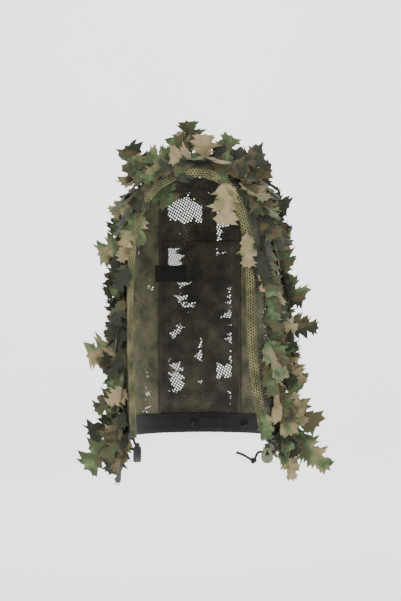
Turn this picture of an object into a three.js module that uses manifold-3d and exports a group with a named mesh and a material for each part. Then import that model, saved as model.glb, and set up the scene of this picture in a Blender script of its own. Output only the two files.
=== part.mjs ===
// A leaf-covered camouflage hood for field use. A netting shell open at the face hangs from the crown of the
// head, with a black hem band around the neck, a drawcord in a casing around the face, two sprung cord locks
// and cloth leaves on the outside. Millimetres, +Z up, the face towards -Y, the origin where the crown rests
// on the head.
import * as THREE from "three";
import { ParametricGeometry } from "three/addons/geometries/ParametricGeometry.js";
import { mergeVertices } from "three/addons/utils/BufferGeometryUtils.js";
import Module from "manifold-3d";

// ---- Driving dimensions of the shell, inside the netting ----
const HALF_WIDTH = 112;
const HALF_DEPTH = 108;
const DOME_RISE = 135;
const BODY_DROP = 303;
const FLARE = 8; // growth of both half sizes from the dome's base to the hem
const DRIFT = 8; // sideways lean of the hem, towards the wearer's left
const NET = 1.2; // thickness of the netting with its yarn crossings
const GAP = 0.3; // clearance between pieces that rest on each other
const PANEL_HALF = 64; // half width of the centre panel that runs over the crown and down the back
const BROW_SPLIT = 105; // drop from the crown to the joins of the brow casing
const DOME_STEPS = 9;
const BODY_STEPS = 7;
const TURN_STEPS = 44;
const OVERRUN = 10; // how far a cutting solid runs past what it cuts
const FAR = 400; // beyond everything, for cuts that are open to one side

// ---- Hem, patch, tapes and snaps ----
const HEM_HEIGHT = 30;
const HEM_THICK = 1.4;
const LOOP = { width: 38, height: 20, thick: 1.4, x: 19 };
const PATCH = { width: 50, height: 27, thick: 1, x: -46, drop: 185 };
const TAPE = { width: 24, thick: 0.9, top: 62, above: 42 };
const TAPE_X = { left: 60, middle: 15, right: -60 };
const SNAP = {
  cap: 6.2, // radius of the cap
  capEdge: 1.2, // bevel of the cap's rim
  capThick: 1.6,
  post: 1.8,
  postShort: 0.4, // end of the post below the socket's rim
  socket: 5.8,
  socketEdge: 0.8,
  socketThick: 2.2,
  recess: 3, // radius of the socket's hollow
  recessEdge: 0.6,
};
const SNAP_X = { left: 71, right: -10 };
const SNAP_RISE = 14; // snap centre above the hem's lower edge

// ---- Drawcord, its casing and the cord locks ----
const CORD = 3.8;
const CASING = { halfWidth: 8.5, halfThick: 3.9, wall: 0.9 };
const CASING_STEPS = 46;
const CASING_SIDES = 12;
const CORD_SIDES = 8;
const LOCK = {
  width: 18, // across the widest part of the body
  neck: 11, // across the body's mouth
  thick: 12,
  above: 7, // mouth above the cord's axis
  below: 17, // foot below the cord's axis
  bore: 4, // radius of the plunger bore
  floor: 2, // thickness of the foot under the spring
  bevel: 1.6,
  shoulder: 2, // height at which the sides leave the neck
  eye: 2.6, // radius of the cross hole
};
const WINDOW = { width: 7, low: -4.5, high: 5.5 };
const TRAVEL = 5; // how far a plunger goes in
const HEAD = 5.4; // plunger head left above the slot
const PLUNGER_FOOT = 3;
const SPRING = { radius: 2.7, wire: 0.9, turns: 3, sides: 6, stepsPerTurn: 9 };
const LEFT_LOCK_AT = { x: 101, below: 17 }; // below the hem
const RIGHT_LOCK_AT = { x: -95, below: 18 };
const KNOT = { radius: 4.2, wide: 0.86, tall: 0.92, lean: -0.7 };

// ---- Leaves ----
const LEAF_THICK = 0.8;
const LEAF_CURL = 0.1; // sag at the tip as a share of the leaf's length

const HEM_Z = -DOME_RISE - BODY_DROP;
const OUTSIDE = NET + GAP;
const RAD = Math.PI / 180;

const wasm = await Module();
wasm.setup();

// ---- Solids ----
function solidOf(geometry) {
  const bare = geometry.index ? geometry.toNonIndexed() : geometry.clone();
  bare.deleteAttribute("normal");
  bare.deleteAttribute("uv");
  const merged = mergeVertices(bare, 1e-3);
  const triVerts = new Uint32Array(merged.index.array);
  const vertProperties = merged.attributes.position.array;
  const made = new wasm.Manifold(new wasm.Mesh({ numProp: 3, vertProperties, triVerts }));
  if (made.volume() > 0) return made;
  for (let i = 0; i < triVerts.length; i += 3) {
    [triVerts[i + 1], triVerts[i + 2]] = [triVerts[i + 2], triVerts[i + 1]];
  }
  return new wasm.Manifold(new wasm.Mesh({ numProp: 3, vertProperties, triVerts }));
}

function geometryOf(solid) {
  const mesh = solid.getMesh();
  const points = new Float32Array(mesh.numVert * 3);
  for (let i = 0; i < mesh.numVert; i++) {
    points.set(mesh.vertProperties.subarray(i * mesh.numProp, i * mesh.numProp + 3), i * 3);
  }
  const made = new THREE.BufferGeometry();
  made.setAttribute("position", new THREE.BufferAttribute(points, 3));
  made.setIndex(new THREE.BufferAttribute(mesh.triVerts, 1));
  made.computeVertexNormals();
  return made;
}

function boxBetween(low, high) {
  const box = new THREE.BoxGeometry(high[0] - low[0], high[1] - low[1], high[2] - low[2]);
  box.translate((low[0] + high[0]) / 2, (low[1] + high[1]) / 2, (low[2] + high[2]) / 2);
  return solidOf(box);
}

function rodAlong(axis, radius, from, to, sides = 16) {
  const rod = new THREE.CylinderGeometry(radius, radius, to - from, sides);
  rod.translate(0, (from + to) / 2, 0);
  if (axis === "x") rod.rotateZ(-Math.PI / 2);
  if (axis === "z") rod.rotateX(Math.PI / 2);
  return solidOf(rod);
}

// ---- The shell's surface: angle 0 is the wearer's left (+X), 90 degrees the back, 270 the front ----
function sectionAt(z, offset) {
  const drop = Math.max(0, -DOME_RISE - z) / BODY_DROP;
  const rise = Math.max(0, z + DOME_RISE) / (DOME_RISE + offset);
  const shrink = Math.sqrt(Math.max(0, 1 - rise * rise));
  return {
    centre: DRIFT * drop,
    across: (HALF_WIDTH + FLARE * drop + offset) * shrink,
    deep: (HALF_DEPTH + FLARE * drop + offset) * shrink,
  };
}

function wallPoint(angle, z, offset) {
  const s = sectionAt(z, offset);
  return new THREE.Vector3(s.centre + s.across * Math.cos(angle), s.deep * Math.sin(angle), z);
}

function wallNormal(point) {
  const s = sectionAt(Math.min(point.z, -DOME_RISE), 0);
  const up = point.z > -DOME_RISE ? (point.z + DOME_RISE) / DOME_RISE ** 2 : 0;
  const normal = new THREE.Vector3((point.x - s.centre) / s.across ** 2, point.y / s.deep ** 2, up);
  return normal.normalize();
}

// Front or back wall point straight through a place of the face view.
function wallBehind(x, z, offset, side) {
  const s = sectionAt(z, offset);
  const share = Math.min(1, Math.abs(x - s.centre) / s.across);
  return new THREE.Vector3(x, side * s.deep * Math.sqrt(1 - share * share), z);
}

function turnAt(step, steps) {
  return (step / steps) * 2 * Math.PI;
}

function hoodSolid(offset, bottom) {
  const levels = [];
  for (let i = 0; i <= BODY_STEPS; i++) {
    levels.push(bottom + ((-DOME_RISE - bottom) * i) / BODY_STEPS);
  }
  for (let i = 1; i < DOME_STEPS; i++) {
    levels.push(-DOME_RISE + (DOME_RISE + offset) * Math.sin((i / DOME_STEPS) * (Math.PI / 2)));
  }
  const rows = levels.length + 1;
  const bullet = new ParametricGeometry((u, v, target) => {
    const row = Math.round(v * rows);
    if (row === 0) target.set(0, 0, bottom);
    else if (row === rows) target.set(0, 0, offset);
    else target.copy(wallPoint(turnAt(Math.round(u * TURN_STEPS), TURN_STEPS), levels[row - 1], offset));
  }, TURN_STEPS, rows);
  return solidOf(bullet);
}

// ---- The casing's centre line in the face view, from the wearer's right hem up and over ----
const FACE_EDGE = [
  [-100, HEM_Z + 2],
  [-103, HEM_Z + 68],
  [-104, -290],
  [-104, -210],
  [-101, -150],
  [-93, -105],
  [-78, -72],
  [-58, -51],
  [-34, -39],
  [-8, -35],
  [18, -39],
  [40, -53],
  [56, -78],
  [67, -112],
  [73, -150],
  [76, -210],
  [77, -290],
  [85, HEM_Z + 78],
  [98, HEM_Z + 2],
];
const edgeCurve = new THREE.CatmullRomCurve3(FACE_EDGE.map(([x, z]) => wallBehind(x, z, NET / 2, -1)));

function edgeFrame(share) {
  const held = Math.min(1, Math.max(0, share));
  const flat = edgeCurve.getPointAt(held);
  const centre = wallBehind(flat.x, flat.z, NET / 2, -1);
  const along = edgeCurve.getTangentAt(held);
  centre.addScaledVector(along, (share - held) * edgeCurve.getLength());
  const out = wallNormal(centre);
  out.addScaledVector(along, -out.dot(along)).normalize();
  return { centre, along, out, across: new THREE.Vector3().crossVectors(along, out) };
}

// A flattened tube along the face edge, its ends closed flat.
function edgeSweep(halfWidth, halfThick, overrun) {
  const rows = CASING_STEPS + 2;
  const extra = overrun / edgeCurve.getLength();
  const frames = [];
  for (let i = 0; i <= CASING_STEPS; i++) {
    frames.push(edgeFrame(-extra + ((1 + 2 * extra) * i) / CASING_STEPS));
  }
  const sweep = new ParametricGeometry((u, v, target) => {
    const row = Math.round(v * rows);
    const frame = frames[Math.min(CASING_STEPS, Math.max(0, row - 1))];
    target.copy(frame.centre);
    if (row === 0 || row === rows) return;
    const turn = turnAt(Math.round(u * CASING_SIDES), CASING_SIDES);
    target.addScaledVector(frame.across, halfWidth * Math.cos(turn));
    target.addScaledVector(frame.out, halfThick * Math.sin(turn));
  }, CASING_SIDES, rows);
  return solidOf(sweep);
}

function faceCutter() {
  const shape = new THREE.Shape();
  shape.moveTo(FACE_EDGE[0][0], HEM_Z - 2 * OVERRUN);
  for (let i = 0; i <= CASING_STEPS; i++) {
    const { centre } = edgeFrame(i / CASING_STEPS);
    shape.lineTo(centre.x, centre.z);
  }
  shape.lineTo(FACE_EDGE[FACE_EDGE.length - 1][0], HEM_Z - 2 * OVERRUN);
  const prism = new THREE.ExtrudeGeometry(shape, { depth: FAR, bevelEnabled: false });
  prism.rotateX(Math.PI / 2);
  return solidOf(prism);
}

const casingRoom = edgeSweep(CASING.halfWidth + GAP, CASING.halfThick + GAP, OVERRUN);
const opening = faceCutter().add(casingRoom);
function shellLayer(inner, outer, low, high) {
  const layer = hoodSolid(outer, HEM_Z - OVERRUN).subtract(hoodSolid(inner, HEM_Z - 2 * OVERRUN));
  return layer.intersect(boxBetween([-FAR, -FAR, low], [FAR, FAR, high])).subtract(opening);
}

function snapPlace(x) {
  return wallBehind(x, HEM_Z + SNAP_RISE, 0, 1);
}

// Turns a piece made along +Z so that it stands outwards from the wall at a point.
function standOnWall(geometry, at) {
  const turn = new THREE.Quaternion().setFromUnitVectors(new THREE.Vector3(0, 0, 1), wallNormal(at));
  geometry.applyQuaternion(turn);
  geometry.translate(at.x, at.y, at.z);
  return geometry;
}

function snapHole(x) {
  const radius = SNAP.post + GAP;
  const hole = new THREE.CylinderGeometry(radius, radius, 2 * OVERRUN, 16);
  hole.rotateX(Math.PI / 2);
  return solidOf(standOnWall(hole, snapPlace(x)));
}

const snapHoles = snapHole(SNAP_X.left).add(snapHole(SNAP_X.right));
const nets = shellLayer(0, NET, HEM_Z, FAR).subtract(snapHoles);
const casing = edgeSweep(CASING.halfWidth, CASING.halfThick, 0).subtract(
  edgeSweep(CASING.halfWidth - CASING.wall, CASING.halfThick - CASING.wall, OVERRUN),
);

function netPanels() {
  const seam = PANEL_HALF + GAP / 2;
  const base = -DOME_RISE;
  const inner = boxBetween([-PANEL_HALF + GAP / 2, -FAR, -FAR * 2], [PANEL_HALF - GAP / 2, FAR, FAR]);
  const centre = nets.intersect(inner);
  return {
    crown_front_net: centre.intersect(boxBetween([-FAR, -FAR, base + GAP / 2], [FAR, -GAP / 2, FAR])),
    crown_back_net: centre.intersect(boxBetween([-FAR, GAP / 2, base + GAP / 2], [FAR, FAR, FAR])),
    back_net: centre.intersect(boxBetween([-FAR, 0, -FAR * 2], [FAR, FAR, base - GAP / 2])),
    right_side_net: nets.intersect(boxBetween([-FAR, -FAR, -FAR * 2], [-seam, FAR, FAR])),
    left_side_net: nets.intersect(boxBetween([seam, -FAR, -FAR * 2], [FAR, FAR, FAR])),
  };
}

function casingPieces() {
  const join = -BROW_SPLIT;
  return {
    right_face_casing: casing.intersect(boxBetween([-FAR, -FAR, -FAR * 2], [0, FAR, join - GAP])),
    brow_casing: casing.intersect(boxBetween([-FAR, -FAR, join], [FAR, FAR, FAR])),
    left_face_casing: casing.intersect(boxBetween([0, -FAR, -FAR * 2], [FAR, FAR, join - GAP])),
  };
}

// A strip or patch laid on the back wall between two offsets, cut square in the rear view.
function wallPatch(x, width, low, high, inner, outer) {
  const cut = boxBetween([x - width / 2, 0, low], [x + width / 2, FAR, high]);
  return geometryOf(shellLayer(inner, outer, low, high).intersect(cut));
}

function tape(x) {
  return wallPatch(x, TAPE.width, HEM_Z + TAPE.above, -TAPE.top, OUTSIDE, OUTSIDE + TAPE.thick);
}

const hemInside = -GAP - HEM_THICK;

function loopStrip() {
  const middle = HEM_Z + SNAP_RISE;
  const top = hemInside - GAP;
  const [low, high] = [middle - LOOP.height / 2, middle + LOOP.height / 2];
  return wallPatch(LOOP.x, LOOP.width, low, high, top - LOOP.thick, top);
}

function patch() {
  const [low, high] = [-PATCH.drop - PATCH.height / 2, -PATCH.drop + PATCH.height / 2];
  return wallPatch(PATCH.x, PATCH.width, low, high, -GAP - PATCH.thick, -GAP);
}

// The snap's cap outside the netting, with the post that goes through to the socket.
function snapCap(x) {
  const seat = NET + 2 * GAP;
  const tip = hemInside - GAP - SNAP.socketThick + SNAP.postShort;
  const cap = [
    [0, tip],
    [SNAP.post, tip],
    [SNAP.post, seat],
    [SNAP.cap, seat],
    [SNAP.cap, seat + SNAP.capThick * 0.6],
    [SNAP.cap - SNAP.capEdge, seat + SNAP.capThick],
    [0, seat + SNAP.capThick],
  ];
  return snapTurned(cap, x);
}

// The socket ring inside the hem band.
function snapSocket(x) {
  const seat = hemInside - 2 * GAP;
  const hole = SNAP.post + GAP;
  const ring = [
    [hole, seat],
    [SNAP.socket, seat],
    [SNAP.socket, seat - SNAP.socketThick * 0.7],
    [SNAP.socket - SNAP.socketEdge, seat - SNAP.socketThick],
    [SNAP.recess + SNAP.recessEdge, seat - SNAP.socketThick],
    [SNAP.recess, seat - SNAP.socketThick * 0.5],
    [hole, seat - SNAP.socketThick * 0.5],
    [hole, seat],
  ];
  return snapTurned(ring, x);
}

function snapTurned(profile, x) {
  const turned = new THREE.LatheGeometry(profile.map(([r, h]) => new THREE.Vector2(r, h)), 20);
  turned.rotateX(Math.PI / 2);
  return geometryOf(solidOf(standOnWall(turned, snapPlace(x))));
}

function angleOfBack(x, z) {
  const s = sectionAt(z, 0);
  return Math.acos((x - s.centre) / s.across) / RAD;
}

// ---- Cord locks: made around their own cord axis, the cord along X ----
const pistonRadius = LOCK.bore - GAP;
const slotLow = -CORD / 2 - GAP;
const slotHigh = CORD / 2 + TRAVEL + GAP;

function lockBody() {
  const shape = new THREE.Shape();
  const belly = LOCK.width / 2;
  const centre = belly - LOCK.below;
  shape.moveTo(-LOCK.neck / 2, LOCK.above);
  shape.bezierCurveTo(-LOCK.neck / 2, LOCK.shoulder, -belly, 0, -belly, centre);
  shape.absarc(0, centre, belly, Math.PI, 2 * Math.PI, false);
  shape.bezierCurveTo(belly, 0, LOCK.neck / 2, LOCK.shoulder, LOCK.neck / 2, LOCK.above);
  shape.closePath();
  const block = new THREE.ExtrudeGeometry(shape, {
    depth: LOCK.thick - 2 * LOCK.bevel,
    bevelThickness: LOCK.bevel,
    bevelSize: LOCK.bevel,
    bevelOffset: -LOCK.bevel,
    bevelSegments: 1,
    curveSegments: 5,
  });
  block.translate(0, 0, LOCK.bevel - LOCK.thick / 2);
  block.rotateX(Math.PI / 2);
  const bore = rodAlong("z", LOCK.bore, LOCK.floor - LOCK.below, LOCK.above + OVERRUN);
  const eye = rodAlong("x", LOCK.eye, -LOCK.width, LOCK.width);
  return geometryOf(solidOf(block).subtract(bore).subtract(eye).subtract(lockWindow()));
}

// A three-cornered window through the front and back walls, around the cord.
function lockWindow() {
  const shape = new THREE.Shape();
  shape.moveTo(-WINDOW.width / 2, WINDOW.low);
  shape.lineTo(WINDOW.width / 2, WINDOW.low);
  shape.lineTo(0, WINDOW.high);
  shape.closePath();
  const prism = new THREE.ExtrudeGeometry(shape, { depth: 2 * LOCK.thick, bevelEnabled: false });
  prism.translate(0, 0, -LOCK.thick);
  prism.rotateX(Math.PI / 2);
  return solidOf(prism);
}

function lockPlunger() {
  const rod = rodAlong("z", pistonRadius, slotLow - PLUNGER_FOOT, slotHigh + HEAD);
  const slot = boxBetween([-LOCK.width, -CORD / 2 - GAP, slotLow], [LOCK.width, CORD / 2 + GAP, slotHigh]);
  return geometryOf(rod.subtract(slot));
}

function lockSpring() {
  const low = LOCK.floor - LOCK.below + GAP + SPRING.wire / 2;
  const high = slotLow - PLUNGER_FOOT - GAP - SPRING.wire / 2;
  const steps = SPRING.turns * SPRING.stepsPerTurn;
  const points = [];
  for (let i = 0; i <= steps; i++) {
    const turn = turnAt(i, SPRING.stepsPerTurn);
    const z = low + ((high - low) * i) / steps;
    points.push(new THREE.Vector3(SPRING.radius * Math.cos(turn), SPRING.radius * Math.sin(turn), z));
  }
  return roundAlong(points, SPRING.wire, SPRING.sides, steps);
}

function roundAlong(points, diameter, sides, steps) {
  const section = new THREE.Shape();
  for (let i = 0; i < sides; i++) {
    const turn = turnAt(i, sides);
    const x = (diameter / 2) * Math.cos(turn);
    const y = (diameter / 2) * Math.sin(turn);
    if (i === 0) section.moveTo(x, y);
    else section.lineTo(x, y);
  }
  section.closePath();
  const path = new THREE.CatmullRomCurve3(points, false, "centripetal");
  return new THREE.ExtrudeGeometry(section, { steps, extrudePath: path, bevelEnabled: false });
}

// ---- Where the cords go ----
const rightEnd = edgeFrame(0); // at the wearer's right, x below zero
const leftEnd = edgeFrame(1);
const rightLock = new THREE.Vector3(RIGHT_LOCK_AT.x, rightEnd.centre.y, HEM_Z - RIGHT_LOCK_AT.below);
const leftLock = new THREE.Vector3(LEFT_LOCK_AT.x, leftEnd.centre.y, HEM_Z - LEFT_LOCK_AT.below);

// Share of the edge's length by which each cord piece stops short of the casing's mouth.
const CORD_JOIN = (0.35 * CORD) / edgeCurve.getLength();

function casedCord() {
  const points = [];
  for (let i = 0; i <= CASING_STEPS; i++) {
    points.push(edgeFrame(CORD_JOIN + ((1 - 2 * CORD_JOIN) * i) / CASING_STEPS).centre);
  }
  return roundAlong(points, CORD, CORD_SIDES, 2 * CASING_STEPS);
}

function shifted(origin, offsets) {
  return offsets.map(([x, y, z]) => new THREE.Vector3(origin.x + x, origin.y + y, origin.z + z));
}

// From the casing round the front of the plunger, back through the lock and into its knot.
function rightCordEnd() {
  const points = [
    edgeFrame(-CORD_JOIN).centre,
    ...shifted(rightLock, [
      [-4, -7, 14.5],
      [-1, -14.5, 9],
      [0, -15.5, 2.5],
      [0, -11, 0],
      [0, -6, 0],
      [0, 7, 0],
      [0, 16.2, 0],
    ]),
  ];
  return roundAlong(points, CORD, CORD_SIDES, 16);
}

// From the casing round the plunger and into the lock's cross hole.
function leftCordLead() {
  const points = [
    edgeFrame(1 + CORD_JOIN).centre,
    ...shifted(leftLock, [
      [5.5, -0.5, 15],
      [11.5, -0.5, 10.5],
      [13.8, 0, 4],
      [10.5, 0, 0],
      [6, 0, 0],
      [1, 0, 0],
    ]),
  ];
  return roundAlong(points, CORD, CORD_SIDES, 12);
}

// The free stretch, from the cross hole to the knot and on to the cut end.
function leftCordTail() {
  const points = shifted(leftLock, [
    [0.7, 0, 0],
    [-6, 0, 0],
    [-12.4, 0, -0.1],
    [-15.4, -0.2, -3.4],
    [-17.9, -0.4, -9.2],
  ]);
  return roundAlong(points, CORD, CORD_SIDES, 10);
}

function leftCordTip() {
  const points = shifted(leftLock, [
    [-24.3, -0.8, -10.9],
    [-31, -1.2, -6.8],
    [-38.4, -1.6, -3],
    [-46.3, -2, -0.4],
  ]);
  return roundAlong(points, CORD, CORD_SIDES, 10);
}

function knotAt(x, y, z, turnZ) {
  const knot = new THREE.SphereGeometry(KNOT.radius, 12, 8);
  knot.scale(1, KNOT.wide, KNOT.tall);
  knot.rotateY(KNOT.lean);
  knot.rotateZ(turnZ);
  knot.translate(x, y, z);
  return knot;
}

// ---- Leaves ----
const LEAF_HALF = [
  [0.08, 0],
  [0.1, 0.2],
  [0.62, 0.31],
  [0.4, 0.42],
  [1, 0.54],
  [0.42, 0.63],
  [0.72, 0.82],
  [0.24, 0.8],
];
const LEAF_SEAT = 0.35; // rise of a leaf's root above its clearance
const DROOP_SEAT = 0.82; // the same for a leaf that hangs down along the wall

const FAR_HALF = { x: 0.94, y: 0.97 }; // the far half of a leaf against the near half

// A lobed leaf that starts at a point of the wall and reaches outwards.
function leaf({ angle, z, reach, length, width, droops, face = FRONT, lift = GAP + LEAF_SEAT }) {
  const shape = new THREE.Shape();
  const half = width / 2;
  shape.moveTo(LEAF_HALF[0][0] * half, 0);
  for (const [x, y] of LEAF_HALF.slice(1)) shape.lineTo(x * half, y * length);
  shape.lineTo(0, length);
  for (const [x, y] of [...LEAF_HALF].reverse()) {
    shape.lineTo(-x * half * FAR_HALF.x, y * length * FAR_HALF.y);
  }
  shape.closePath();
  const plate = new THREE.ExtrudeGeometry(shape, { depth: LEAF_THICK, bevelEnabled: false });
  const place = plate.attributes.position;
  for (let i = 0; i < place.count; i++) {
    const out = place.getY(i) / length;
    place.setZ(i, place.getZ(i) - LEAF_THICK / 2 - LEAF_CURL * length * out * out);
  }
  const along = new THREE.Vector3(...reach).normalize();
  const towards = new THREE.Vector3(...face);
  towards.addScaledVector(along, -towards.dot(along)).normalize();
  const across = new THREE.Vector3().crossVectors(along, towards);
  const seat = wallPoint(angle * RAD, z, NET);
  seat.addScaledVector(wallNormal(seat), droops ? GAP + DROOP_SEAT : lift);
  plate.applyMatrix4(new THREE.Matrix4().makeBasis(across, along, towards).setPosition(seat));
  return plate;
}

const FRONT = [0, -1, 0];
const LEAVES = {
  right_leaf_crown: { angle: 184, z: -42, reach: [-0.5, -0.1, 0.85], length: 58, width: 42 },
  right_leaf_brow: { angle: 188, z: -74, reach: [-0.8, -0.1, -0.5], length: 42, width: 30 },
  right_leaf_temple: { angle: 174, z: -96, reach: [-0.78, 0.1, -0.62], length: 40, width: 30, droops: true },
  right_leaf_cheek: { angle: 190, z: -140, reach: [-0.93, -0.1, -0.36], length: 48, width: 44 },
  right_leaf_ear: { angle: 176, z: -200, reach: [-0.88, 0, -0.45], length: 40, width: 32 },
  right_leaf_jaw: { angle: 190, z: -246, reach: [-0.6, -0.1, -0.75], length: 48, width: 36, droops: true },
  right_leaf_neck: { angle: 182, z: -300, reach: [-0.97, 0, -0.22], length: 63, width: 52 },
  right_leaf_collar: { angle: 190, z: HEM_Z + 70, reach: [-0.84, -0.05, -0.5], length: 58, width: 42 },
  right_leaf_shoulder: { angle: 180, z: HEM_Z + 28, reach: [-0.92, 0, -0.36], length: 66, width: 40 },
  right_leaf_hem_out: {
    angle: 192,
    z: HEM_Z + 10,
    reach: [-0.75, -0.2, -0.66],
    length: 88,
    width: 50,
    droops: true,
  },
  right_leaf_hem_down: {
    angle: 184,
    z: HEM_Z + 7,
    reach: [-0.4, 0.25, -1],
    length: 77,
    width: 42,
    droops: true,
  },
  left_leaf_crown: {
    angle: -62,
    z: -28,
    reach: [0.86, -0.12, 0.3],
    length: 70,
    width: 48,
    face: [0.2, -1, 0.5],
  },
  left_leaf_brow: { angle: -8, z: -72, reach: [0.9, -0.1, -0.3], length: 40, width: 38 },
  left_leaf_temple: { angle: 4, z: -118, reach: [0.85, 0, -0.25], length: 30, width: 34 },
  left_leaf_cheek: { angle: -12, z: -152, reach: [0.72, -0.1, -0.5], length: 38, width: 38 },
  left_leaf_ear: { angle: 0, z: -205, reach: [0.92, 0, -0.4], length: 52, width: 46, droops: true },
  left_leaf_jaw: { angle: -10, z: -262, reach: [0.98, -0.05, -0.12], length: 66, width: 38 },
  left_leaf_neck: { angle: 4, z: -336, reach: [0.9, 0, -0.42], length: 44, width: 34 },
  left_leaf_collar: {
    angle: -8,
    z: HEM_Z + 56,
    reach: [0.86, -0.05, -0.58],
    length: 70,
    width: 48,
    droops: true,
  },
  left_leaf_hem_out: {
    angle: 2,
    z: HEM_Z + 14,
    reach: [0.72, 0, -0.66],
    length: 100,
    width: 46,
    droops: true,
  },
  left_leaf_hem_down: {
    angle: -16,
    z: HEM_Z + 8,
    reach: [0.22, -0.3, -0.95],
    length: 76,
    width: 28,
    droops: true,
  },
  top_leaf_up: { angle: -120, z: -2.1, reach: [-0.16, -0.1, 1], length: 42, width: 36 },
  top_leaf_peak: { angle: -100, z: -6, reach: [0.08, -0.98, -0.2], length: 76, width: 74, face: [0, 0, 1] },
};

// Rows of leaves down the back, tied to the tapes, each hanging clear of the one below.
const BACK_LEAF = { length: 92, width: 66, lean: 0.3 };
const ON_TAPE = 2 * GAP + TAPE.thick + LEAF_THICK / 2;
const BACK_ROWS = [
  { name: "upper", z: -72, left: TAPE_X.left, right: TAPE_X.right },
  { name: "middle", z: -190, left: TAPE_X.middle, right: TAPE_X.right },
  { name: "lower", z: -310, left: TAPE_X.left, right: TAPE_X.right },
];

function backLeaf(x, z) {
  const angle = angleOfBack(x, z);
  const out = wallNormal(wallPoint(angle * RAD, z, NET));
  const reach = new THREE.Vector3(0, 0, -1).addScaledVector(out, out.z + BACK_LEAF.lean);
  const { length, width } = BACK_LEAF;
  return { angle, z, reach: reach.toArray(), face: out.toArray(), length, width, lift: ON_TAPE };
}

function backLeaves() {
  const made = {};
  for (const { name, z, left, right } of BACK_ROWS) {
    made["back_leaf_" + name + "_left"] = backLeaf(left, z);
    made["back_leaf_" + name + "_right"] = backLeaf(right, z);
  }
  return made;
}

// ---- Looks ----
function finish(color, roughness, metalness = 0) {
  return new THREE.MeshStandardMaterial({ color, roughness, metalness });
}

const LOOKS = {
  netting: () => finish(0x4a463a, 0.95),
  casing: () => finish(0x8c8259, 0.95),
  hem: () => finish(0x1c1c1d, 0.9),
  tape: () => finish(0x3c4230, 0.9),
  cord: () => finish(0x15161a, 0.8),
  snap: () => finish(0x1d1f22, 0.45, 0.4),
  lock: () => finish(0x59604c, 0.5),
  dark: () => finish(0x24231f, 0.5),
  spring: () => finish(0x9a9b9c, 0.35, 1),
};
const LEAF_COLOURS = [0x6c6542, 0x4c5a35, 0xa5966f, 0x2f3a26, 0x6f8a60];

const hood = new THREE.Group();

function addPiece(group, name, geometry, look) {
  const piece = new THREE.Mesh(geometry, look);
  piece.name = name;
  group.add(piece);
  return piece;
}

function addCloth() {
  for (const [name, solid] of Object.entries(netPanels())) {
    addPiece(hood, name, geometryOf(solid), LOOKS.netting());
  }
  for (const [name, solid] of Object.entries(casingPieces())) {
    addPiece(hood, name, geometryOf(solid), LOOKS.casing());
  }
  const hem = shellLayer(hemInside, -GAP, HEM_Z, HEM_Z + HEM_HEIGHT).subtract(snapHoles);
  addPiece(hood, "hem_band", geometryOf(hem), LOOKS.hem());
  addPiece(hood, "hem_loop_strip", loopStrip(), LOOKS.hem());
  addPiece(hood, "inner_patch", patch(), LOOKS.hem());
  for (const [side, x] of Object.entries(TAPE_X)) {
    addPiece(hood, "back_tape_" + side, tape(x), LOOKS.tape());
  }
}

function addSnaps() {
  for (const [side, x] of Object.entries(SNAP_X)) {
    addPiece(hood, side + "_snap_cap", snapCap(x), LOOKS.snap());
    addPiece(hood, side + "_snap_socket", snapSocket(x), LOOKS.snap());
  }
}

function addLock(side, at, turn, look) {
  const lock = new THREE.Group();
  lock.position.copy(at);
  lock.rotation.z = turn;
  addPiece(lock, side + "_lock_body", lockBody(), look);
  addPiece(lock, side + "_lock_plunger", lockPlunger(), LOOKS.dark());
  addPiece(lock, side + "_lock_spring", lockSpring(), LOOKS.spring());
  hood.add(lock);
}

function addCords() {
  addPiece(hood, "drawcord", casedCord(), LOOKS.cord());
  addPiece(hood, "right_cord_end", rightCordEnd(), LOOKS.cord());
  addPiece(hood, "left_cord_lead", leftCordLead(), LOOKS.cord());
  addPiece(hood, "left_cord_tail", leftCordTail(), LOOKS.cord());
  addPiece(hood, "left_cord_tip", leftCordTip(), LOOKS.cord());
  const left = leftLock;
  const right = rightLock;
  addPiece(hood, "left_cord_knot", knotAt(left.x - 20.5, left.y - 0.6, left.z - 12.7, 0), LOOKS.cord());
  addPiece(hood, "right_cord_knot", knotAt(right.x, right.y + 20.6, right.z, 0.5), LOOKS.cord());
}

function addLeaves() {
  const all = { ...LEAVES, ...backLeaves() };
  Object.entries(all).forEach(([name, spec], i) => {
    addPiece(hood, name, leaf(spec), finish(LEAF_COLOURS[i % LEAF_COLOURS.length], 0.95));
  });
}

addCloth();
addSnaps();
addLock("right", rightLock, Math.PI / 2, LOOKS.dark());
addLock("left", leftLock, 0, LOOKS.lock());
addCords();
addLeaves();

export default hood;
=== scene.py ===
"""Looks of a leaf-covered netting hood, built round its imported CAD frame. Metres, +Z up, face towards -Y."""
import logging
import math
import random
from dataclasses import dataclass, field
from enum import Enum
from typing import Callable, Iterable, Sequence

import bpy
import numpy as np
from mathutils import Matrix, Vector


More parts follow.
